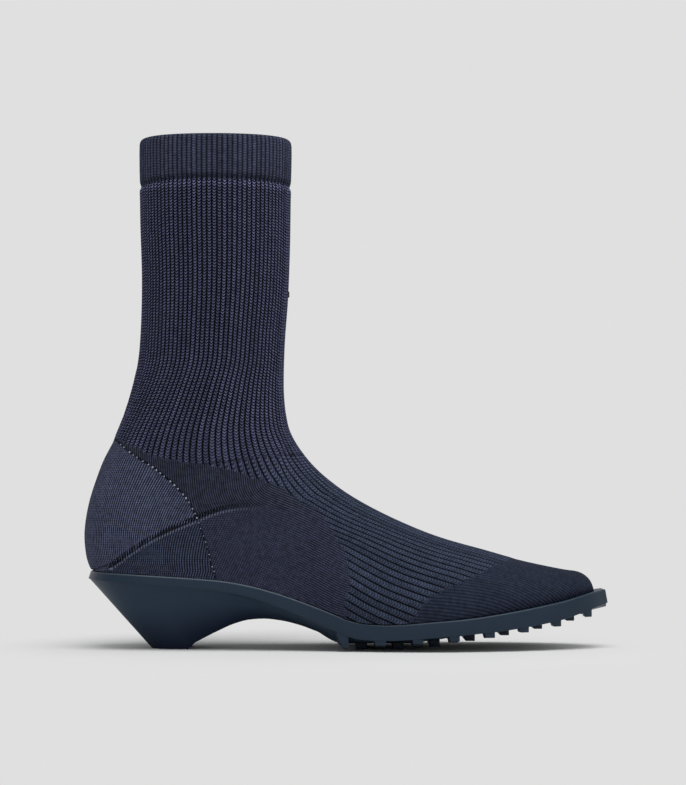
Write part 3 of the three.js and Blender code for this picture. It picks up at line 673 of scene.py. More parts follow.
def add(tree, kind, links=None, output=0, **settings):
    """Adds a node with its settings and links, and gives one of its outputs."""
    made = tree.nodes.new("ShaderNode" + kind)
    for name, value in settings.items():
        setattr(made, name, value)
    for socket, value in (links or {}).items():
        if isinstance(value, bpy.types.NodeSocket):
            tree.links.new(value, made.inputs[socket])
        else:
            made.inputs[socket].default_value = value
    return made.outputs[output]


def new_material(name, **sockets):
    """A material and its shader, with the uniform numbers set on the shader's own sockets."""
    made = bpy.data.materials.new(name)
    made.use_nodes = True
    shader = made.node_tree.nodes["Principled BSDF"]
    for socket, value in sockets.items():
        shader.inputs[socket.replace("_", " ")].default_value = value
    return made, made.node_tree, shader


# Stitches of the knit. The ribs' courses are really about 1.2 mm apart, the plain knit and the gore's dashes
# about 0.9 mm, too fine to show in the picture, so they are drawn a little coarser
RIB_COURSE = 1.5
CUFF_COURSE = 1.2
PLAIN_WALE = 1.1
PLAIN_COURSE = 1.2
TOE_WALE = 1.6
SEAM_STITCH = 2.9
CROSSING = 0.48
GORE_STITCH = 1.5
GORE_FADES = (60, 84)


def knit_material():
    """Matt polyester yarn, flat-bed knitted: ribs with painted shade in their gaps and painted highlights on
    the stitches, fine plain parts, soft grazing light.
    """
    made, tree, shader = new_material("polyester_yarn_flat_knit", Roughness=0.85, Specular_IOR_Level=0.07)
    field = {name: add(tree, "Attribute", output="Fac", attribute_name=name) for name in fields}
    place = add(tree, "TexCoord", output="Object")

    # Zones, each 1 inside: cuff, ribs, all but the toe, behind the heel seam, below the gore
    cuff = add(tree, "MapRange", {0: field["height"], 1: crease_z - 0.5, 2: crease_z + 1.5})
    ribs_end = add(tree, "TexNoise", {"Vector": place, "Scale": 1 / (3 * MM)}, output="Fac")
    ragged = add(tree, "MapRange", {0: ribs_end, 1: 0.3, 2: 0.7, 3: -0.8, 4: 0.8})
    rib_edge = add(tree, "Math", {0: field["rib_edge"], 1: ragged}, operation="ADD")
    toe_edge = add(tree, "Math", {0: field["toe_edge"], 1: ragged}, operation="ADD")
    in_ribs = add(tree, "MapRange", {0: rib_edge, 1: -0.7, 2: 0.7})
    off_toe = add(tree, "MapRange", {0: toe_edge, 1: -0.7, 2: 0.7, 3: 1, 4: 0})
    ribs = add(tree, "Math", {0: in_ribs, 1: off_toe}, operation="MULTIPLY")
    heel = add(tree, "MapRange", {0: field["heel_seam"], 1: 0.2, 2: -0.2})
    below = add(tree, "MapRange", {0: field["gore"], 1: 0.2, 2: -0.2})

    # Ribs: a rounded column of slanted stitches between gaps, with narrower gaps over the foot
    half_rib = add(tree, "Math", {0: field["rib"], 1: 0.5}, operation="PINGPONG")
    gap_at_foot = add(tree, "MapRange", {0: field["foot"], 3: 0.3, 4: 0.17})
    gap = add(tree, "MapRange", {0: cuff, 3: gap_at_foot, 4: 0.3})
    gap_floor = add(tree, "MapRange", {0: field["foot"], 3: 0.05, 4: 0.03})
    column = add(tree, "MapRange", {0: half_rib, 1: gap_floor, 2: gap}, interpolation_type="SMOOTHSTEP")
    course = add(tree, "MapRange", {0: cuff, 3: 1 / RIB_COURSE, 4: 1 / CUFF_COURSE})
    on_foot = add(tree, "MapRange", {0: field["foot"], 1: 0.50, 2: 0.52})
    rib_run = add(tree, "Mix", {0: on_foot, 2: field["run"], 3: field["foot_run"]}, data_type="FLOAT")
    courses = add(tree, "Math", {0: rib_run, 1: course}, operation="MULTIPLY")
    rib_number = add(tree, "Math", {0: field["rib"]}, operation="FLOOR")
    rib_chance = add(tree, "TexWhiteNoise", {"W": rib_number}, noise_dimensions="1D")
    courses = add(tree, "Math", {0: courses, 1: rib_chance}, operation="ADD")
    slant = add(tree, "MapRange", {0: cuff, 3: -1.6, 4: -0.6})
    leaning = add(tree, "Math", {0: half_rib, 1: slant, 2: courses}, operation="MULTIPLY_ADD")
    leg_wave = add(tree, "Math", {0: leaning, 1: 0.5}, operation="PINGPONG")
    leg = add(tree, "MapRange", {0: leg_wave, 1: 0.14, 2: 0.38}, interpolation_type="SMOOTHSTEP")
    leg_low = add(tree, "MapRange", {0: field["foot"], 3: 0.03, 4: 0.42})
    leg_low = add(tree, "MapRange", {0: cuff, 3: leg_low, 4: 0.4})
    leg_depth = add(tree, "MapRange", {0: leg, 3: leg_low, 4: 1})
    ribbed = add(tree, "Math", {0: column, 1: leg_depth}, operation="MULTIPLY")

    # Plain knit: wales along the back behind the heel seam, and along the ridge of the foot before it
    across = add(tree, "Mix", {0: heel, 2: field["side_wale"], 3: field["heel_wale"]}, data_type="FLOAT")
    along = add(tree, "Mix", {0: heel, 2: field["foot_run"], 3: field["height"]}, data_type="FLOAT")
    wales = add(tree, "Math", {0: across, 1: PLAIN_WALE}, operation="DIVIDE")
    wale_wave = add(tree, "Math", {0: wales, 1: 0.5}, operation="PINGPONG")
    plain_runs = add(tree, "Math", {0: along, 1: PLAIN_COURSE}, operation="DIVIDE")
    plain_lean = add(tree, "Math", {0: wale_wave, 1: 1.0, 2: plain_runs}, operation="MULTIPLY_ADD")
    loop_wave = add(tree, "Math", {0: plain_lean, 1: 0.5}, operation="PINGPONG")
    wale = add(tree, "MapRange", {0: wale_wave, 1: 0.06, 2: 0.4}, interpolation_type="SMOOTHSTEP")
    hatch = add(tree, "MapRange", {0: field["heel_seam"], 1: 12, 2: 48, 3: below, 4: 0})
    hatch = add(tree, "Mix", {0: heel, 2: hatch, 3: 0}, data_type="FLOAT")
    wale_low = add(tree, "MapRange", {0: hatch, 3: 0, 4: 0.75})
    wale = add(tree, "MapRange", {0: wale, 3: wale_low, 4: 1})
    loop = add(tree, "MapRange", {0: loop_wave, 1: 0.06, 2: 0.4}, interpolation_type="SMOOTHSTEP")
    loops_show = add(tree, "Math", {0: heel, 1: below}, operation="MAXIMUM")
    loop_low = add(tree, "MapRange", {0: loops_show, 3: 0.75, 4: 0.55})
    loop_low = add(tree, "Mix", {0: hatch, 2: loop_low, 3: 0.1}, data_type="FLOAT")
    loop_depth = add(tree, "MapRange", {0: loop, 3: loop_low, 4: 1})
    plain = add(tree, "Math", {0: wale, 1: loop_depth}, operation="MULTIPLY")
    toe_wales = add(tree, "Math", {0: field["toe_wale"], 1: TOE_WALE}, operation="DIVIDE")
    toe_wave = add(tree, "Math", {0: toe_wales, 1: 0.5}, operation="PINGPONG")
    toe_low = add(tree, "MapRange", {0: field["toe_edge"], 1: 8, 2: 55, 3: 0.22, 4: 0.02})
    toe_rise = {0: toe_wave, 1: 0.05, 2: 0.38, 3: toe_low, 4: 0.6}
    toe_line = add(tree, "MapRange", toe_rise, interpolation_type="SMOOTHSTEP")
    plain_height = add(tree, "Mix", {0: off_toe, 2: toe_line, 3: plain}, data_type="FLOAT")
    knit = add(tree, "Mix", {0: ribs, 2: plain_height, 3: ribbed}, data_type="FLOAT")

    # Yarn: fibres much finer than the picture shows, drawn about 0.4 mm apart, slow unevenness of the dye and
    # a stitch lighter or darker than the next
    fibres = add(tree, "TexNoise", {"Vector": place, "Scale": 1 / (0.4 * MM), "Detail": 2.0}, output="Fac")
    dye = add(tree, "TexNoise", {"Vector": place, "Scale": 1 / (22 * MM), "Detail": 3.0}, output="Fac")
    uneven = add(tree, "TexNoise", {"Vector": place, "Scale": 1 / (2.2 * MM), "Detail": 2.0}, output="Fac")
    fibre_shade = add(tree, "MapRange", {0: fibres, 1: 0.3, 2: 0.7, 3: 0.93, 4: 1.07})
    dye_shade = add(tree, "MapRange", {0: dye, 1: 0.3, 2: 0.7, 3: 0.93, 4: 1.07})
    stitch_shade = add(tree, "MapRange", {0: uneven, 1: 0.3, 2: 0.7, 3: 0.75, 4: 1.25})

    # Tint by zone, then painted shade in the gaps between the stitches and painted highlights on the loops'
    # tops
    zone = {"data_type": "RGBA"}
    heel_tint = add(tree, "Mix", {0: below, 6: hex_colour(HEEL), 7: hex_colour(HEEL_LOW)}, output=2, **zone)
    ahead_tint = add(tree, "Mix", {0: below, 6: hex_colour(ANKLE), 7: hex_colour(MIDFOOT)}, output=2, **zone)
    foot_tint = add(tree, "Mix", {0: heel, 6: ahead_tint, 7: heel_tint}, output=2, **zone)
    plain_tint = add(tree, "Mix", {0: off_toe, 6: hex_colour(TOE), 7: foot_tint}, output=2, **zone)
    on_shaft, on_forefoot = hex_colour(SHAFT), hex_colour(FOREFOOT)
    rib_tint = add(tree, "Mix", {0: field["foot"], 6: on_shaft, 7: on_forefoot}, output=2, **zone)
    upper_tint = add(tree, "Mix", {0: cuff, 6: rib_tint, 7: hex_colour(CUFF)}, output=2, **zone)
    tint = add(tree, "Mix", {0: ribs, 6: plain_tint, 7: upper_tint}, output=2, **zone)
    # Painted shade and painted highlight: how dark the knit's gaps and how light its loops are drawn, as
    # factors of the zone's colour
    rib_low = add(tree, "MapRange", {0: cuff, 3: 0.03, 4: 0.3})
    rib_high = add(tree, "MapRange", {0: cuff, 3: 3.5, 4: 2.0})
    plain_low = add(tree, "MapRange", {0: heel, 3: 0.42, 4: 0.15})
    plain_high = add(tree, "MapRange", {0: heel, 3: 2.2, 4: 2.6})
    low = add(tree, "Mix", {0: ribs, 2: plain_low, 3: rib_low}, data_type="FLOAT")
    high = add(tree, "Mix", {0: ribs, 2: plain_high, 3: rib_high}, data_type="FLOAT")
    shade = add(tree, "MapRange", {0: knit, 3: low, 4: high})
    # Painted shade in the cuff's crease and a painted highlight on the course just below it
    fold_away = add(tree, "Math", {0: field["height"], 1: crease_z + 1}, operation="SUBTRACT")
    fold_away = add(tree, "Math", {0: fold_away}, operation="ABSOLUTE")
    crease_painted_shade = add(tree, "MapRange", {0: fold_away, 1: 0.4, 2: 2.6, 3: 0.55, 4: 1})
    first_away = add(tree, "Math", {0: field["height"], 1: crease_z - 2}, operation="SUBTRACT")
    first_away = add(tree, "Math", {0: first_away}, operation="ABSOLUTE")
    first_course_painted_highlight = add(tree, "MapRange", {0: first_away, 1: 0.6, 2: 2.4, 3: 1.6, 4: 1})
    rib_shade = add(tree, "MapRange", {0: rib_chance, 3: 0.84, 4: 1.16})
    rib_shade = add(tree, "Mix", {0: ribs, 2: 1, 3: rib_shade}, data_type="FLOAT")
    for more in (fibre_shade, dye_shade, stitch_shade, crease_painted_shade, first_course_painted_highlight, rib_shade):
        shade = add(tree, "Math", {0: shade, 1: more}, operation="MULTIPLY")

    # Gore line: dark slanted dashes along it and light loops just below
    gore_turn = add(tree, "Math", {0: field["gore_run"], 1: GORE_STITCH}, operation="DIVIDE")
    gore_lean = add(tree, "Math", {0: field["gore"], 1: -0.3, 2: gore_turn}, operation="MULTIPLY_ADD")
    gore_wave = add(tree, "Math", {0: gore_lean, 1: 0.5}, operation="PINGPONG")
    gore_end = add(tree, "MapRange", {0: field["gore_run"], 1: GORE_FADES[0], 2: GORE_FADES[1], 3: 1, 4: 0})
    dash_away = add(tree, "Math", {0: field["gore"], 1: 0.3}, operation="SUBTRACT")
    dash_away = add(tree, "Math", {0: dash_away}, operation="ABSOLUTE")
    dash_near = add(tree, "MapRange", {0: dash_away, 1: 0.9, 2: 1.5, 3: 1, 4: 0})
    dash = add(tree, "MapRange", {0: gore_wave, 1: 0.2, 2: 0.34, 3: 1, 4: 0.0})
    for part in (dash_near, gore_end):
        dash = add(tree, "Math", {0: dash, 1: part}, operation="MULTIPLY")
    loop_away = add(tree, "Math", {0: field["gore"], 1: 1.6}, operation="ADD")
    loop_away = add(tree, "Math", {0: loop_away}, operation="ABSOLUTE")
    loop_near = add(tree, "MapRange", {0: loop_away, 1: 0.3, 2: 0.8, 3: 1, 4: 0})
    light = add(tree, "MapRange", {0: gore_wave, 1: 0.25, 2: 0.42})
    for part in (loop_near, gore_end):
        light = add(tree, "Math", {0: light, 1: part}, operation="MULTIPLY")
    dash_shade = add(tree, "MapRange", {0: dash, 3: 1, 4: 0.06})
    light_part = add(tree, "Math", {0: light, 1: 0.55}, operation="MULTIPLY")

    # Heel seam: a fine fold with dark holes between the stitches, fainter below the gore
    seam_away = add(tree, "Math", {0: field["heel_seam"]}, operation="ABSOLUTE")
    seam_near = add(tree, "MapRange", {0: seam_away, 1: 0.3, 2: 0.9, 3: 1, 4: 0})
    seam_hole = add(tree, "MapRange", {0: uneven, 1: 0.42, 2: 0.55, 3: 0.25, 4: 1})
    seam_weight = add(tree, "MapRange", {0: below, 3: 1, 4: 0.6})
    seam = add(tree, "Math", {0: seam_near, 1: seam_hole}, operation="MULTIPLY")
    seam = add(tree, "Math", {0: seam, 1: seam_weight}, operation="MULTIPLY")
    seam_shade = add(tree, "MapRange", {0: seam, 3: 1, 4: 0.15})
    for more in (dash_shade, seam_shade):
        shade = add(tree, "Math", {0: shade, 1: more}, operation="MULTIPLY")
    marks = add(tree, "Math", {0: dash, 1: seam}, operation="MAXIMUM")
    knit = add(tree, "Math", {0: marks, 1: -0.8, 2: knit}, operation="MULTIPLY_ADD")

    colour = add(tree, "VectorMath", {0: tint, "Scale": shade}, operation="SCALE")
    colour = add(tree, "Mix", {0: light_part, 6: colour, 7: hex_colour(THREAD)}, output=2, **zone)
    knit = add(tree, "Math", {0: fibres, 1: 0.12, 2: knit}, operation="MULTIPLY_ADD")
    bump = add(tree, "Bump", {"Height": knit, "Distance": 0.4 * MM, "Strength": 0.9})
    tree.links.new(colour, shader.inputs["Base Color"])
    tree.links.new(bump, shader.inputs["Normal"])
    return made


# Colours of the yarn, zone by zone, and of the moulded sole, with the sole's painted shade low on its flank
# and its painted highlight along the band's upper edge
CUFF = "#313546"
SHAFT = "#323447"
HEEL = "#3b3f52"
HEEL_LOW = "#2b3040"
ANKLE = "#272a37"
MIDFOOT = "#292c3c"
TOE = "#202533"
FOREFOOT = "#1e232f"
SOLE = "#1b2b3b"
SOLE_PAINTED_SHADE = "#050f22"
SOLE_PAINTED_HIGHLIGHT = "#46505a"
FOOTBED = "#23262f"
THREAD = "#8b90a5"
TACK = "#12131b"

# Bar tack on the front of the shaft
TACK_SIZE = (1.6, 3, 3)
TACK_Z = 179.8


def rubber_material():
    """Injection-moulded rubber: satin, with a very fine spark-eroded grain and a faint cloudiness."""
    made, tree, shader = new_material("rubber_injection_moulded_satin", IOR=1.5, Specular_IOR_Level=0.22)
    flank = add(tree, "Attribute", output="Fac", attribute_name="flank")
    edge = add(tree, "Attribute", output="Fac", attribute_name="edge")
    place = add(tree, "TexCoord", output="Object")
    cloud = add(tree, "TexNoise", {"Vector": place, "Scale": 1 / (30 * MM), "Detail": 4.0}, output="Fac")
    grain = add(tree, "TexNoise", {"Vector": place, "Scale": 1 / (0.5 * MM), "Detail": 2.0}, output="Fac")
    shade = add(tree, "MapRange", {0: cloud, 1: 0.3, 2: 0.7, 3: 0.92, 4: 1.08})
    # Painted shade: the flank grows darker and bluer lower down
    painted_shade_share = add(tree, "MapRange", {0: flank, 1: 0.5})
    tints = {0: painted_shade_share, 6: hex_colour(SOLE), 7: hex_colour(SOLE_PAINTED_SHADE)}
    tint = add(tree, "Mix", tints, output=2, data_type="RGBA")
    # Painted highlight along the rounded upper edge of the band
    tint = add(tree, "Mix", {0: edge, 6: tint, 7: hex_colour(SOLE_PAINTED_HIGHLIGHT)}, output=2, data_type="RGBA")
    # Painted light: the flank's upper part is drawn lighter than the band
    flank_painted_light = add(tree, "MapRange", {0: flank, 1: 0.15, 2: 0.35, 3: 1, 4: 1.25})
    shade = add(tree, "Math", {0: shade, 1: flank_painted_light}, operation="MULTIPLY")
    colour = add(tree, "VectorMath", {0: tint, "Scale": shade}, operation="SCALE")
    rough = add(tree, "MapRange", {0: cloud, 1: 0.3, 2: 0.7, 3: 0.36, 4: 0.46})
    rough = add(tree, "Math", {0: flank, 1: 0.4, 2: rough}, operation="MULTIPLY_ADD")
    bump = add(tree, "Bump", {"Height": grain, "Distance": 0.02 * MM, "Strength": 0.6})
    tree.links.new(colour, shader.inputs["Base Color"])
    tree.links.new(rough, shader.inputs["Roughness"])
    tree.links.new(bump, shader.inputs["Normal"])
    return made


def footbed_material():
    """Brushed polyester cloth bonded to foam: flat, dark, with a short even nap."""
    made, tree, shader = new_material("polyester_cloth_brushed", Roughness=0.95, Sheen_Weight=0.3)
    place = add(tree, "TexCoord", output="Object")
    nap = add(tree, "TexNoise", {"Vector": place, "Scale": 1 / (0.7 * MM), "Detail": 3.0}, output="Fac")
    shade = add(tree, "MapRange", {0: nap, 1: 0.3, 2: 0.7, 3: 0.8, 4: 1.25})
    colour = add(tree, "VectorMath", {0: hex_colour(FOOTBED)[:3], "Scale": shade}, operation="SCALE")
    bump = add(tree, "Bump", {"Height": nap, "Distance": 0.15 * MM, "Strength": 0.6})
    tree.links.new(colour, shader.inputs["Base Color"])
    tree.links.new(bump, shader.inputs["Normal"])
    return made


def thread_material(name, tint):
    """Twisted polyester sewing thread: a little glossier than the knit."""
    made, tree, shader = new_material(name, Roughness=0.55)
    place = add(tree, "TexCoord", output="Object")
    twist = add(tree, "TexNoise", {"Vector": place, "Scale": 1 / (0.3 * MM), "Detail": 1.0}, output="Fac")
    shade = add(tree, "MapRange", {0: twist, 1: 0.3, 2: 0.7, 3: 0.75, 4: 1.2})
    colour = add(tree, "VectorMath", {0: hex_colour(tint)[:3], "Scale": shade}, operation="SCALE")
    bump = add(tree, "Bump", {"Height": twist, "Distance": 0.06 * MM, "Strength": 0.6})
    tree.links.new(colour, shader.inputs["Base Color"])
    tree.links.new(bump, shader.inputs["Normal"])
    return made


def rim_edges(bm, is_collar):
    """Open edges at the collar, or all the others along the sole."""
    rim = [edge for edge in bm.edges if edge.is_boundary]
    return [edge for edge in rim if (edge.verts[0].co.z > crease_z) == is_collar]


# The lining keeps one in so many of the skin's columns and rows
INNER_STEP = 8
INNER_ROWS = 4


def make_upper(material):
    """The sock: a fine outer skin and a coarser inner one, joined at the collar and along the sole."""
    bm = bmesh.new()
    border = grid_onto(bm, outer, fields)
    corner = int(np.argmax(on_sole))
    kept_rows = sorted(set(range(0, ROWS, INNER_ROWS)) | {corner, ROWS - 1})
    kept = np.ix_(kept_rows, range(0, COLUMNS, INNER_STEP))
    border += grid_onto(bm, inner[kept], {name: field[kept] for name, field in fields.items()})
    bmesh.ops.remove_doubles(bm, verts=border, dist=WELD)
    for is_collar in (True, False):
        bmesh.ops.triangle_fill(bm, edges=rim_edges(bm, is_collar), normal=(0, 0, 1))
    bmesh.ops.recalc_face_normals(bm, faces=bm.faces)
    made = new_object("knit_upper", bm, material)
    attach(made, BODY)
    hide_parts("upper")


# Unit sole, fine
SOLE_STATIONS = 300
FILLET_STEPS = 5
FLANK_ROWS = 10
UNDER_ROWS = 4
# Share of the painted highlight kept on the band's edge along the tread, and where the flank's values begin
EDGE_AT_TREAD = 0.35
FLANK_BEGINS = 0.2
LUG_SOFTNESS = 0.35
SHARP_FROM = math.radians(32)
# Lower edge of the band: share of its fillet inwards, share of it upwards
LOWER_EDGE = [(0.02, 0.55), (0.12, 0.12), (0.55, 0.0)]
BAND_ROWS = FILLET_STEPS + len(LOWER_EDGE)


def sole_edge(at, inset, side):
    """Outline of the sole; inset moves it inwards all round."""
    x = lerp(SOLE_REAR + inset, TIP - inset, at)
    edge = side * (plan_inner(at) if side > 0 else plan_outer(at))
    roundness = min(plan_half(at) / HEEL_ROUND, 1)
    return x, edge + side * (ledge_at(at) - inset) * roundness


def arch_height(x):
    return ARCH_HEIGHT * arch_share(share_of_length(x))


def tread_part(x):
    return smooth(share_of_length(x), TREAD_BEGINS, TREAD_FULL)


def underside_edge(x):
    return lerp(arch_height(x), band_low(x) - PLATE_CHAMFER, tread_part(x))


def sole_arm(at, side):
    """One side of the sole's ring, from its top round the band and the flank to the underside."""
    points = []
    for k in range(FILLET_STEPS):
        turn = math.pi / 2 * k / (FILLET_STEPS - 1)
        x, y = sole_edge(at, BAND_DRAFT + EDGE_FILLET * (1 - math.sin(turn)), side)
        points.append((x, y, sole_top(x) - EDGE_FILLET * (1 - math.cos(turn))))
    for inset, rise in LOWER_EDGE:
        x, y = sole_edge(at, LOWER_FILLET * inset, side)
        points.append((x, y, band_low(x) + LOWER_FILLET * rise))
    x, y = sole_edge(at, BAND_STEP, side)
    middle = plan_middle(at)
    low = band_low(x)
    lean = HEEL_LEAN * min(max(1 - (x - SOLE_REAR) / HEEL_BLEND, 0), 1)
    foot = x + lean
    keel = middle + (y - middle) * keel_share(share_of_length(foot))
    bottom = underside_edge(foot)
    for k in range(FLANK_ROWS + 1):
        down = k / FLANK_ROWS
        points.append((x + lean * down, lerp(y, keel, down**FLANK_HOLLOW), lerp(low, bottom, down)))
    for k in range(1, UNDER_ROWS):
        across = 1 - k / UNDER_ROWS
        under = lerp(arch_height(foot), tread_height(foot, across) + LUG_DEPTH, tread_part(foot))
        points.append((foot, lerp(middle, keel, across), under))
    return points


def sole_ring(at):
    inner_arm, outer_arm = sole_arm(at, 1), sole_arm(at, -1)
    top = tuple((a + b) / 2 for a, b in zip(inner_arm[0], outer_arm[0]))
    foot = (inner_arm[-1][0] + outer_arm[-1][0]) / 2
    under = lerp(arch_height(foot), tread_height(foot, 0) + LUG_DEPTH, tread_part(foot))
    keel = (foot, plan_middle(at), under)
    return [top, *outer_arm, keel, *inner_arm[::-1], top]


def lug_block(bm, corner):
    """A tread lug: a cube whose corners are placed by a function, with softened edges."""
    made = bmesh.ops.create_cube(bm, size=2)["verts"]
    for vert in made:
        vert.co = corner(vert.co.x > 0, vert.co.y > 0, vert.co.z > 0)
    sharp = dict.fromkeys(edge for vert in made for edge in vert.link_edges)
    bmesh.ops.bevel(
        bm, geom=list(sharp), offset=LUG_SOFTNESS, segments=2, profile=0.5, affect="EDGES", material=-1,
        clamp_overlap=True,
    )


first_lug = lerp(REAR, TIP, FIRST_LUG_AT)
lug_run = TIP - TOE_LUG_BACK - first_lug
lug_gaps = max(1, round(lug_run / LUG_PITCH))


def lug_place(k):
    share = k / lug_gaps
    middle = first_lug + lug_run * (share + LUG_CLOSING * share * (1 - share))
    return middle, lerp(LUG_LENGTH, TOE_LUG_LENGTH, share), FIRST_LUG_RAMP if k == 0 else LUG_RAMP


def sole_across(x, share, side):
    at = (x - SOLE_REAR) / (TIP - SOLE_REAR)
    return lerp(plan_middle(at), sole_edge(at, LUG_INSET, side)[1], share)


def lug_x(middle, length, ramp, is_front, is_top):
    """Front or rear of a lug, whose rear leans forward by the ramp at the bottom."""
    return middle + (length / 2 if is_front else -length / 2 + (0 if is_top else ramp))


def side_lug(bm, k, side):
    middle, length, ramp = lug_place(k)

    def corner(is_front, is_left, is_top):
        is_outer = is_left == (side > 0)
        share = 1 if is_outer else SIDE_LUG_INSIDE
        x = lug_x(middle, length, ramp, is_front, is_top)
        bottom = tread_height(middle, share)
        root = band_low(middle) if is_outer else bottom + LUG_DEPTH
        return Vector((x, sole_across(x, share, side), root + LUG_ROOT if is_top else bottom))

    lug_block(bm, corner)


def middle_lug(bm, k):
    rear, length, _ = lug_place(k)
    middle = (rear + lug_place(k + 1)[0]) / 2

    def corner(is_front, is_left, is_top):
        x = lug_x(middle, length, LUG_RAMP, is_front, is_top)
        z = tread_height(middle, 0) + (LUG_DEPTH + LUG_ROOT if is_top else 0)
        return Vector((x, sole_across(middle, MIDDLE_LUG_OUTSIDE, 1 if is_left else -1), z))

    lug_block(bm, corner)


def whole_ring(arm, keel):
    """Values round a ring from those of one arm, with keel in the middle of the underside."""
    return np.concatenate([[0], arm, [keel], arm[::-1], [0]])


def make_sole(material):
    """The moulded unit: body and lugs, with values for the painted shade on its flank and the painted
    highlight along the upper edge of its band.
    """
    bm = bmesh.new()
    rings = np.array([sole_ring(at) for at in crowded(np.linspace(0, 1, SOLE_STATIONS + 1))])
    # Flank values: painted shade and roughness grow down it, behind the tread
    flank = np.linspace(FLANK_BEGINS, 1, FLANK_ROWS + 1)
    flank = np.concatenate([np.zeros(BAND_ROWS), flank, np.ones(UNDER_ROWS - 1)])
    # Painted highlight on the band's upper fillet, weaker along the tread
    edge = np.zeros(len(flank))
    edge[1:FILLET_STEPS - 1] = 1
    off_tread = 1 - tread_part(rings[:, BAND_ROWS + 1, 0])
    highlight_share = lerp(EDGE_AT_TREAD, 1, off_tread)
    values = {"flank": np.outer(off_tread, whole_ring(flank, 1))}
    values["edge"] = np.outer(highlight_share, whole_ring(edge, 0))
    grid_onto(bm, rings, values)
    bmesh.ops.remove_doubles(bm, verts=bm.verts, dist=WELD)
    bmesh.ops.holes_fill(bm, edges=[edge for edge in bm.edges if edge.is_boundary])
    bmesh.ops.triangulate(bm, faces=[face for face in bm.faces if len(face.verts) > 4])
    bmesh.ops.recalc_face_normals(bm, faces=bm.faces)
    for k in range(lug_gaps + 1):
        side_lug(bm, k, 1)
        side_lug(bm, k, -1)
        if k < lug_gaps:
            middle_lug(bm, k)
    made = new_object("unit_sole", bm, material)
    made.data.set_sharp_from_angle(angle=SHARP_FROM)
    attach(made, BODY)
    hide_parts("outsole")


def make_footbed(material):
    """A foam sole covered with cloth, dished a little along its middle."""
    inset = WALL + GAP
    places = np.zeros((FOOTBED_ROWS + 1, FOOTBED_COLUMNS + 1, 3))
    start, end = HEEL_CORNER + inset, NOSE - INSOLE_SETBACK - FOOTBED_SHORTER
    for i, share in enumerate(np.linspace(0, 1, FOOTBED_ROWS + 1)):
        x = lerp(start, end, crowded(share))
        at = (x - start) / (NOSE - start)
        top = feather(x) + INSOLE_THICKNESS - FOOTBED_LOWER
        for j, across in enumerate(np.linspace(-1, 1, FOOTBED_COLUMNS + 1)):
            half = plan_inner(at) if across > 0 else plan_outer(at)
            half = max(half * (1 - inset / (BALL_WIDTH / 2)) - FOOTBED_SIDE_ROOM, 0)
            places[i, j] = (x, across * half, top - FOOTBED_DISH * (1 - across * across))
    bm = bmesh.new()
    grid_onto(bm, places)
    bmesh.ops.remove_doubles(bm, verts=bm.verts, dist=WELD)
    bmesh.ops.recalc_face_normals(bm, faces=bm.faces)
    if sum(face.normal.z for face in bm.faces) < 0:
        bmesh.ops.reverse_faces(bm, faces=bm.faces)
    made = new_object("footbed", bm, material)
    thick = made.modifiers.new("thickness", "SOLIDIFY")
    thick.thickness = (INSOLE_THICKNESS - FOOTBED_THINNER) * MM
    thick.offset = -1
    rounded = made.modifiers.new("edge", "BEVEL")
    rounded.width = FOOTBED_EDGE * MM
    rounded.segments = 2
    rounded.limit_method = "ANGLE"
    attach(made, BODY)
    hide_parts("insole")


# Stitches of the heel seam: how far apart, spread of that and of their plumpness, half sizes and stand. They
# are smaller below the crossing with the gore, a share of the ankle's height, and stop near the back and the
# sole. Their direction is read NEXT mm away
SEAM_STITCH = 2.9
STITCH_SEED = 11
STITCH_SPREAD = (0.75, 1.4)
PLUMP_SPREAD = (0.65, 1.15)
STITCH_HALF_SIZES = (0.58, 0.5, 0.35)
STITCH_STAND = 0.05
CROSSING = 0.48
PLUMP_BELOW = 0.6
NEAR_BACK = 2
NEAR_SOLE = 1.5
NEXT = 0.5

# Bar tack on the front of the shaft
TACK_SIZE = (1.6, 3, 3)
TACK_Z = 179.8
TACK_STAND = 0.1
TACK_EDGE = 0.4


def on_upper(x, z, side):
    return Vector((x, float(surface_y(x, z, side)), z))


def make_seam_thread(material):
    """Short stitches standing a little proud along the heel seam, on both sides."""
    line = side_line(HEEL_SEAM)
    run = run_along(line)

    def place_at(at):
        return [float(np.interp(at, run, line[:, k])) for k in (0, 1)]

    bm = bmesh.new()
    chance = random.Random(STITCH_SEED)
    for side in (1, -1):
        at = 0
        while at < run[-1] - SEAM_STITCH:
            at += SEAM_STITCH * chance.uniform(*STITCH_SPREAD)
            plump = chance.uniform(*PLUMP_SPREAD)
            x, z = place_at(at)
            if x < back_at(z) + NEAR_BACK or z < feather(x) + NEAR_SOLE:
                continue
            here = on_upper(x, z, side)
            before, after = (on_upper(*place_at(at + step), side) for step in (-NEXT, NEXT))
            along = (after - before).normalized()
            ahead = on_upper(x + NEXT, z, side) - here
            above = on_upper(x, z + NEXT, side) - here
            out = ahead.cross(above).normalized()
            if out.y * side < 0:
                out = -out
            if z < CROSSING * ANKLE_HEIGHT:
                plump *= PLUMP_BELOW
            long, wide, thick = STITCH_HALF_SIZES
            turn = Matrix((along, out.cross(along), out)).transposed().to_4x4()
            size = Matrix.Diagonal((long * plump, wide * plump, thick, 1))
            placed = Matrix.Translation(here + out * STITCH_STAND) @ turn @ size
            bmesh.ops.create_uvsphere(bm, u_segments=8, v_segments=6, radius=1, matrix=placed)
    made = new_object("seam_thread", bm, material)
    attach(made, BODY)


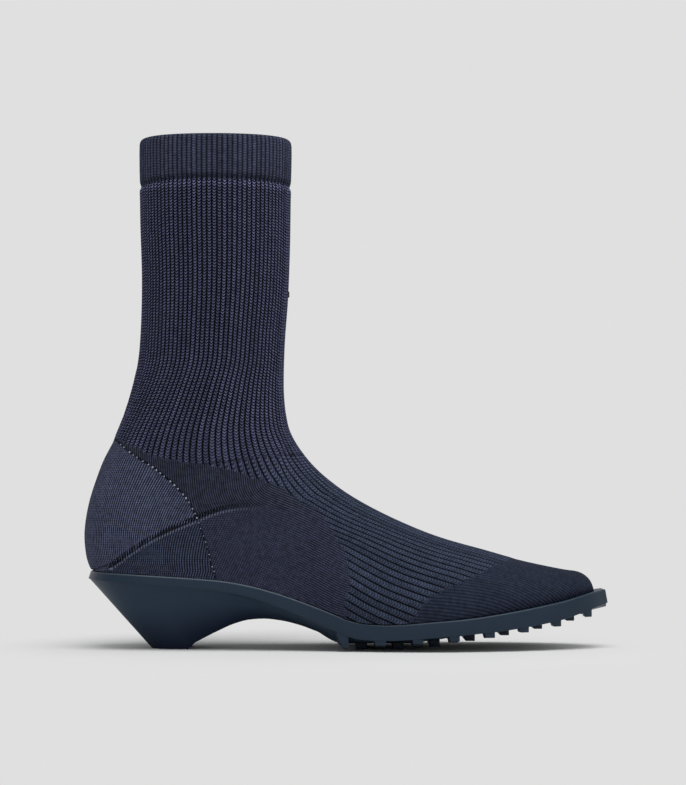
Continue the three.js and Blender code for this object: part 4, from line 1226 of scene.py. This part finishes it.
def make_bar_tack(material):
    """A short bar of dense stitches on the front of the shaft."""
    bm = bmesh.new()
    bmesh.ops.create_cube(bm, size=1)
    bmesh.ops.scale(bm, vec=TACK_SIZE, verts=bm.verts)
    bar = list(bm.edges)
    bmesh.ops.bevel(bm, geom=bar, offset=TACK_EDGE, segments=3, profile=0.5, affect="EDGES", material=-1)
    bmesh.ops.translate(bm, vec=(float(front_at(TACK_Z)) + TACK_STAND, 0, TACK_Z), verts=bm.verts)
    made = new_object("bar_tack", bm, material)
    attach(made, BODY)


make_upper(knit_material())
make_sole(rubber_material())
make_footbed(footbed_material())
make_seam_thread(thread_material("polyester_thread_twisted", THREAD))
make_bar_tack(thread_material("polyester_thread_black", TACK))


# Floor, light and camera, in metres. The floor is lit near the boot and glows like the backdrop farther out
BACKDROP = 0.745
PAPER = 0.72
FLOOR_RADIUS = 8
LIT_RADIUS = 0.09
FADE_RADIUS = 0.2
SKY_OVERHEAD = 0.12
SKY_FADES = (0.3, 0.75)
SOFTBOX_AT = (0.25, -0.45, 1.7)
SOFTBOX_AIM = (0, 0, 0.1)
SOFTBOX_SIZE = (1.5, 1.2)
SOFTBOX_WATTS = 29
CAMERA_AT = (-0.00128, -1.15, 0.073)
CAMERA_AIM = (-0.00128, 0, 0.1296)
CAMERA_LENS = 103.4


def make_stage():
    """A pale floor that melts into the background away from the boot."""
    made = bpy.data.materials.new("studio_paper")
    made.use_nodes = True
    tree = made.node_tree
    tree.nodes.clear()
    place = add(tree, "TexCoord", output="Object")
    away = add(tree, "VectorMath", {0: place}, output="Value", operation="LENGTH")
    far = add(tree, "MapRange", {0: away, 1: LIT_RADIUS, 2: FADE_RADIUS}, interpolation_type="SMOOTHSTEP")
    lit = add(tree, "BsdfDiffuse", {"Color": (PAPER, PAPER, PAPER, 1)})
    glow = add(tree, "Emission", {"Color": (BACKDROP, BACKDROP, BACKDROP, 1)})
    mixed = add(tree, "MixShader", {0: far, 1: lit, 2: glow})
    end = tree.nodes.new("ShaderNodeOutputMaterial")
    tree.links.new(mixed, end.inputs["Surface"])
    bm = bmesh.new()
    bmesh.ops.create_circle(bm, cap_ends=True, segments=96, radius=FLOOR_RADIUS / MM)
    floor = new_object("floor", bm, made)


make_stage()

world = bpy.data.worlds.new("studio")
bpy.context.scene.world = world
world.use_nodes = True
way = add(world.node_tree, "TexCoord", output="Generated")
up = add(world.node_tree, "SeparateXYZ", {0: way}, output="Z")
fades = {0: up, 1: SKY_FADES[0], 2: SKY_FADES[1], 3: BACKDROP, 4: SKY_OVERHEAD}
sky = add(world.node_tree, "MapRange", fades)
world.node_tree.links.new(sky, world.node_tree.nodes["Background"].inputs["Color"])


def set_up(name, data, place, target):
    """Puts a light or a camera in its place, turned to its target."""
    made = bpy.data.objects.new(name, data)
    made.location = place
    made.rotation_euler = (Vector(target) - Vector(place)).to_track_quat("-Z", "Y").to_euler()
    bpy.context.scene.collection.objects.link(made)
    return made


softbox = bpy.data.lights.new("overhead_softbox", "AREA")
softbox.shape = "RECTANGLE"
softbox.size, softbox.size_y = SOFTBOX_SIZE
softbox.energy = SOFTBOX_WATTS
set_up("overhead_softbox", softbox, SOFTBOX_AT, SOFTBOX_AIM)

camera = bpy.data.cameras.new("camera")
camera.lens = CAMERA_LENS
bpy.context.scene.camera = set_up("camera", camera, CAMERA_AT, CAMERA_AIM)
bpy.context.scene.view_settings.view_transform = "Standard"
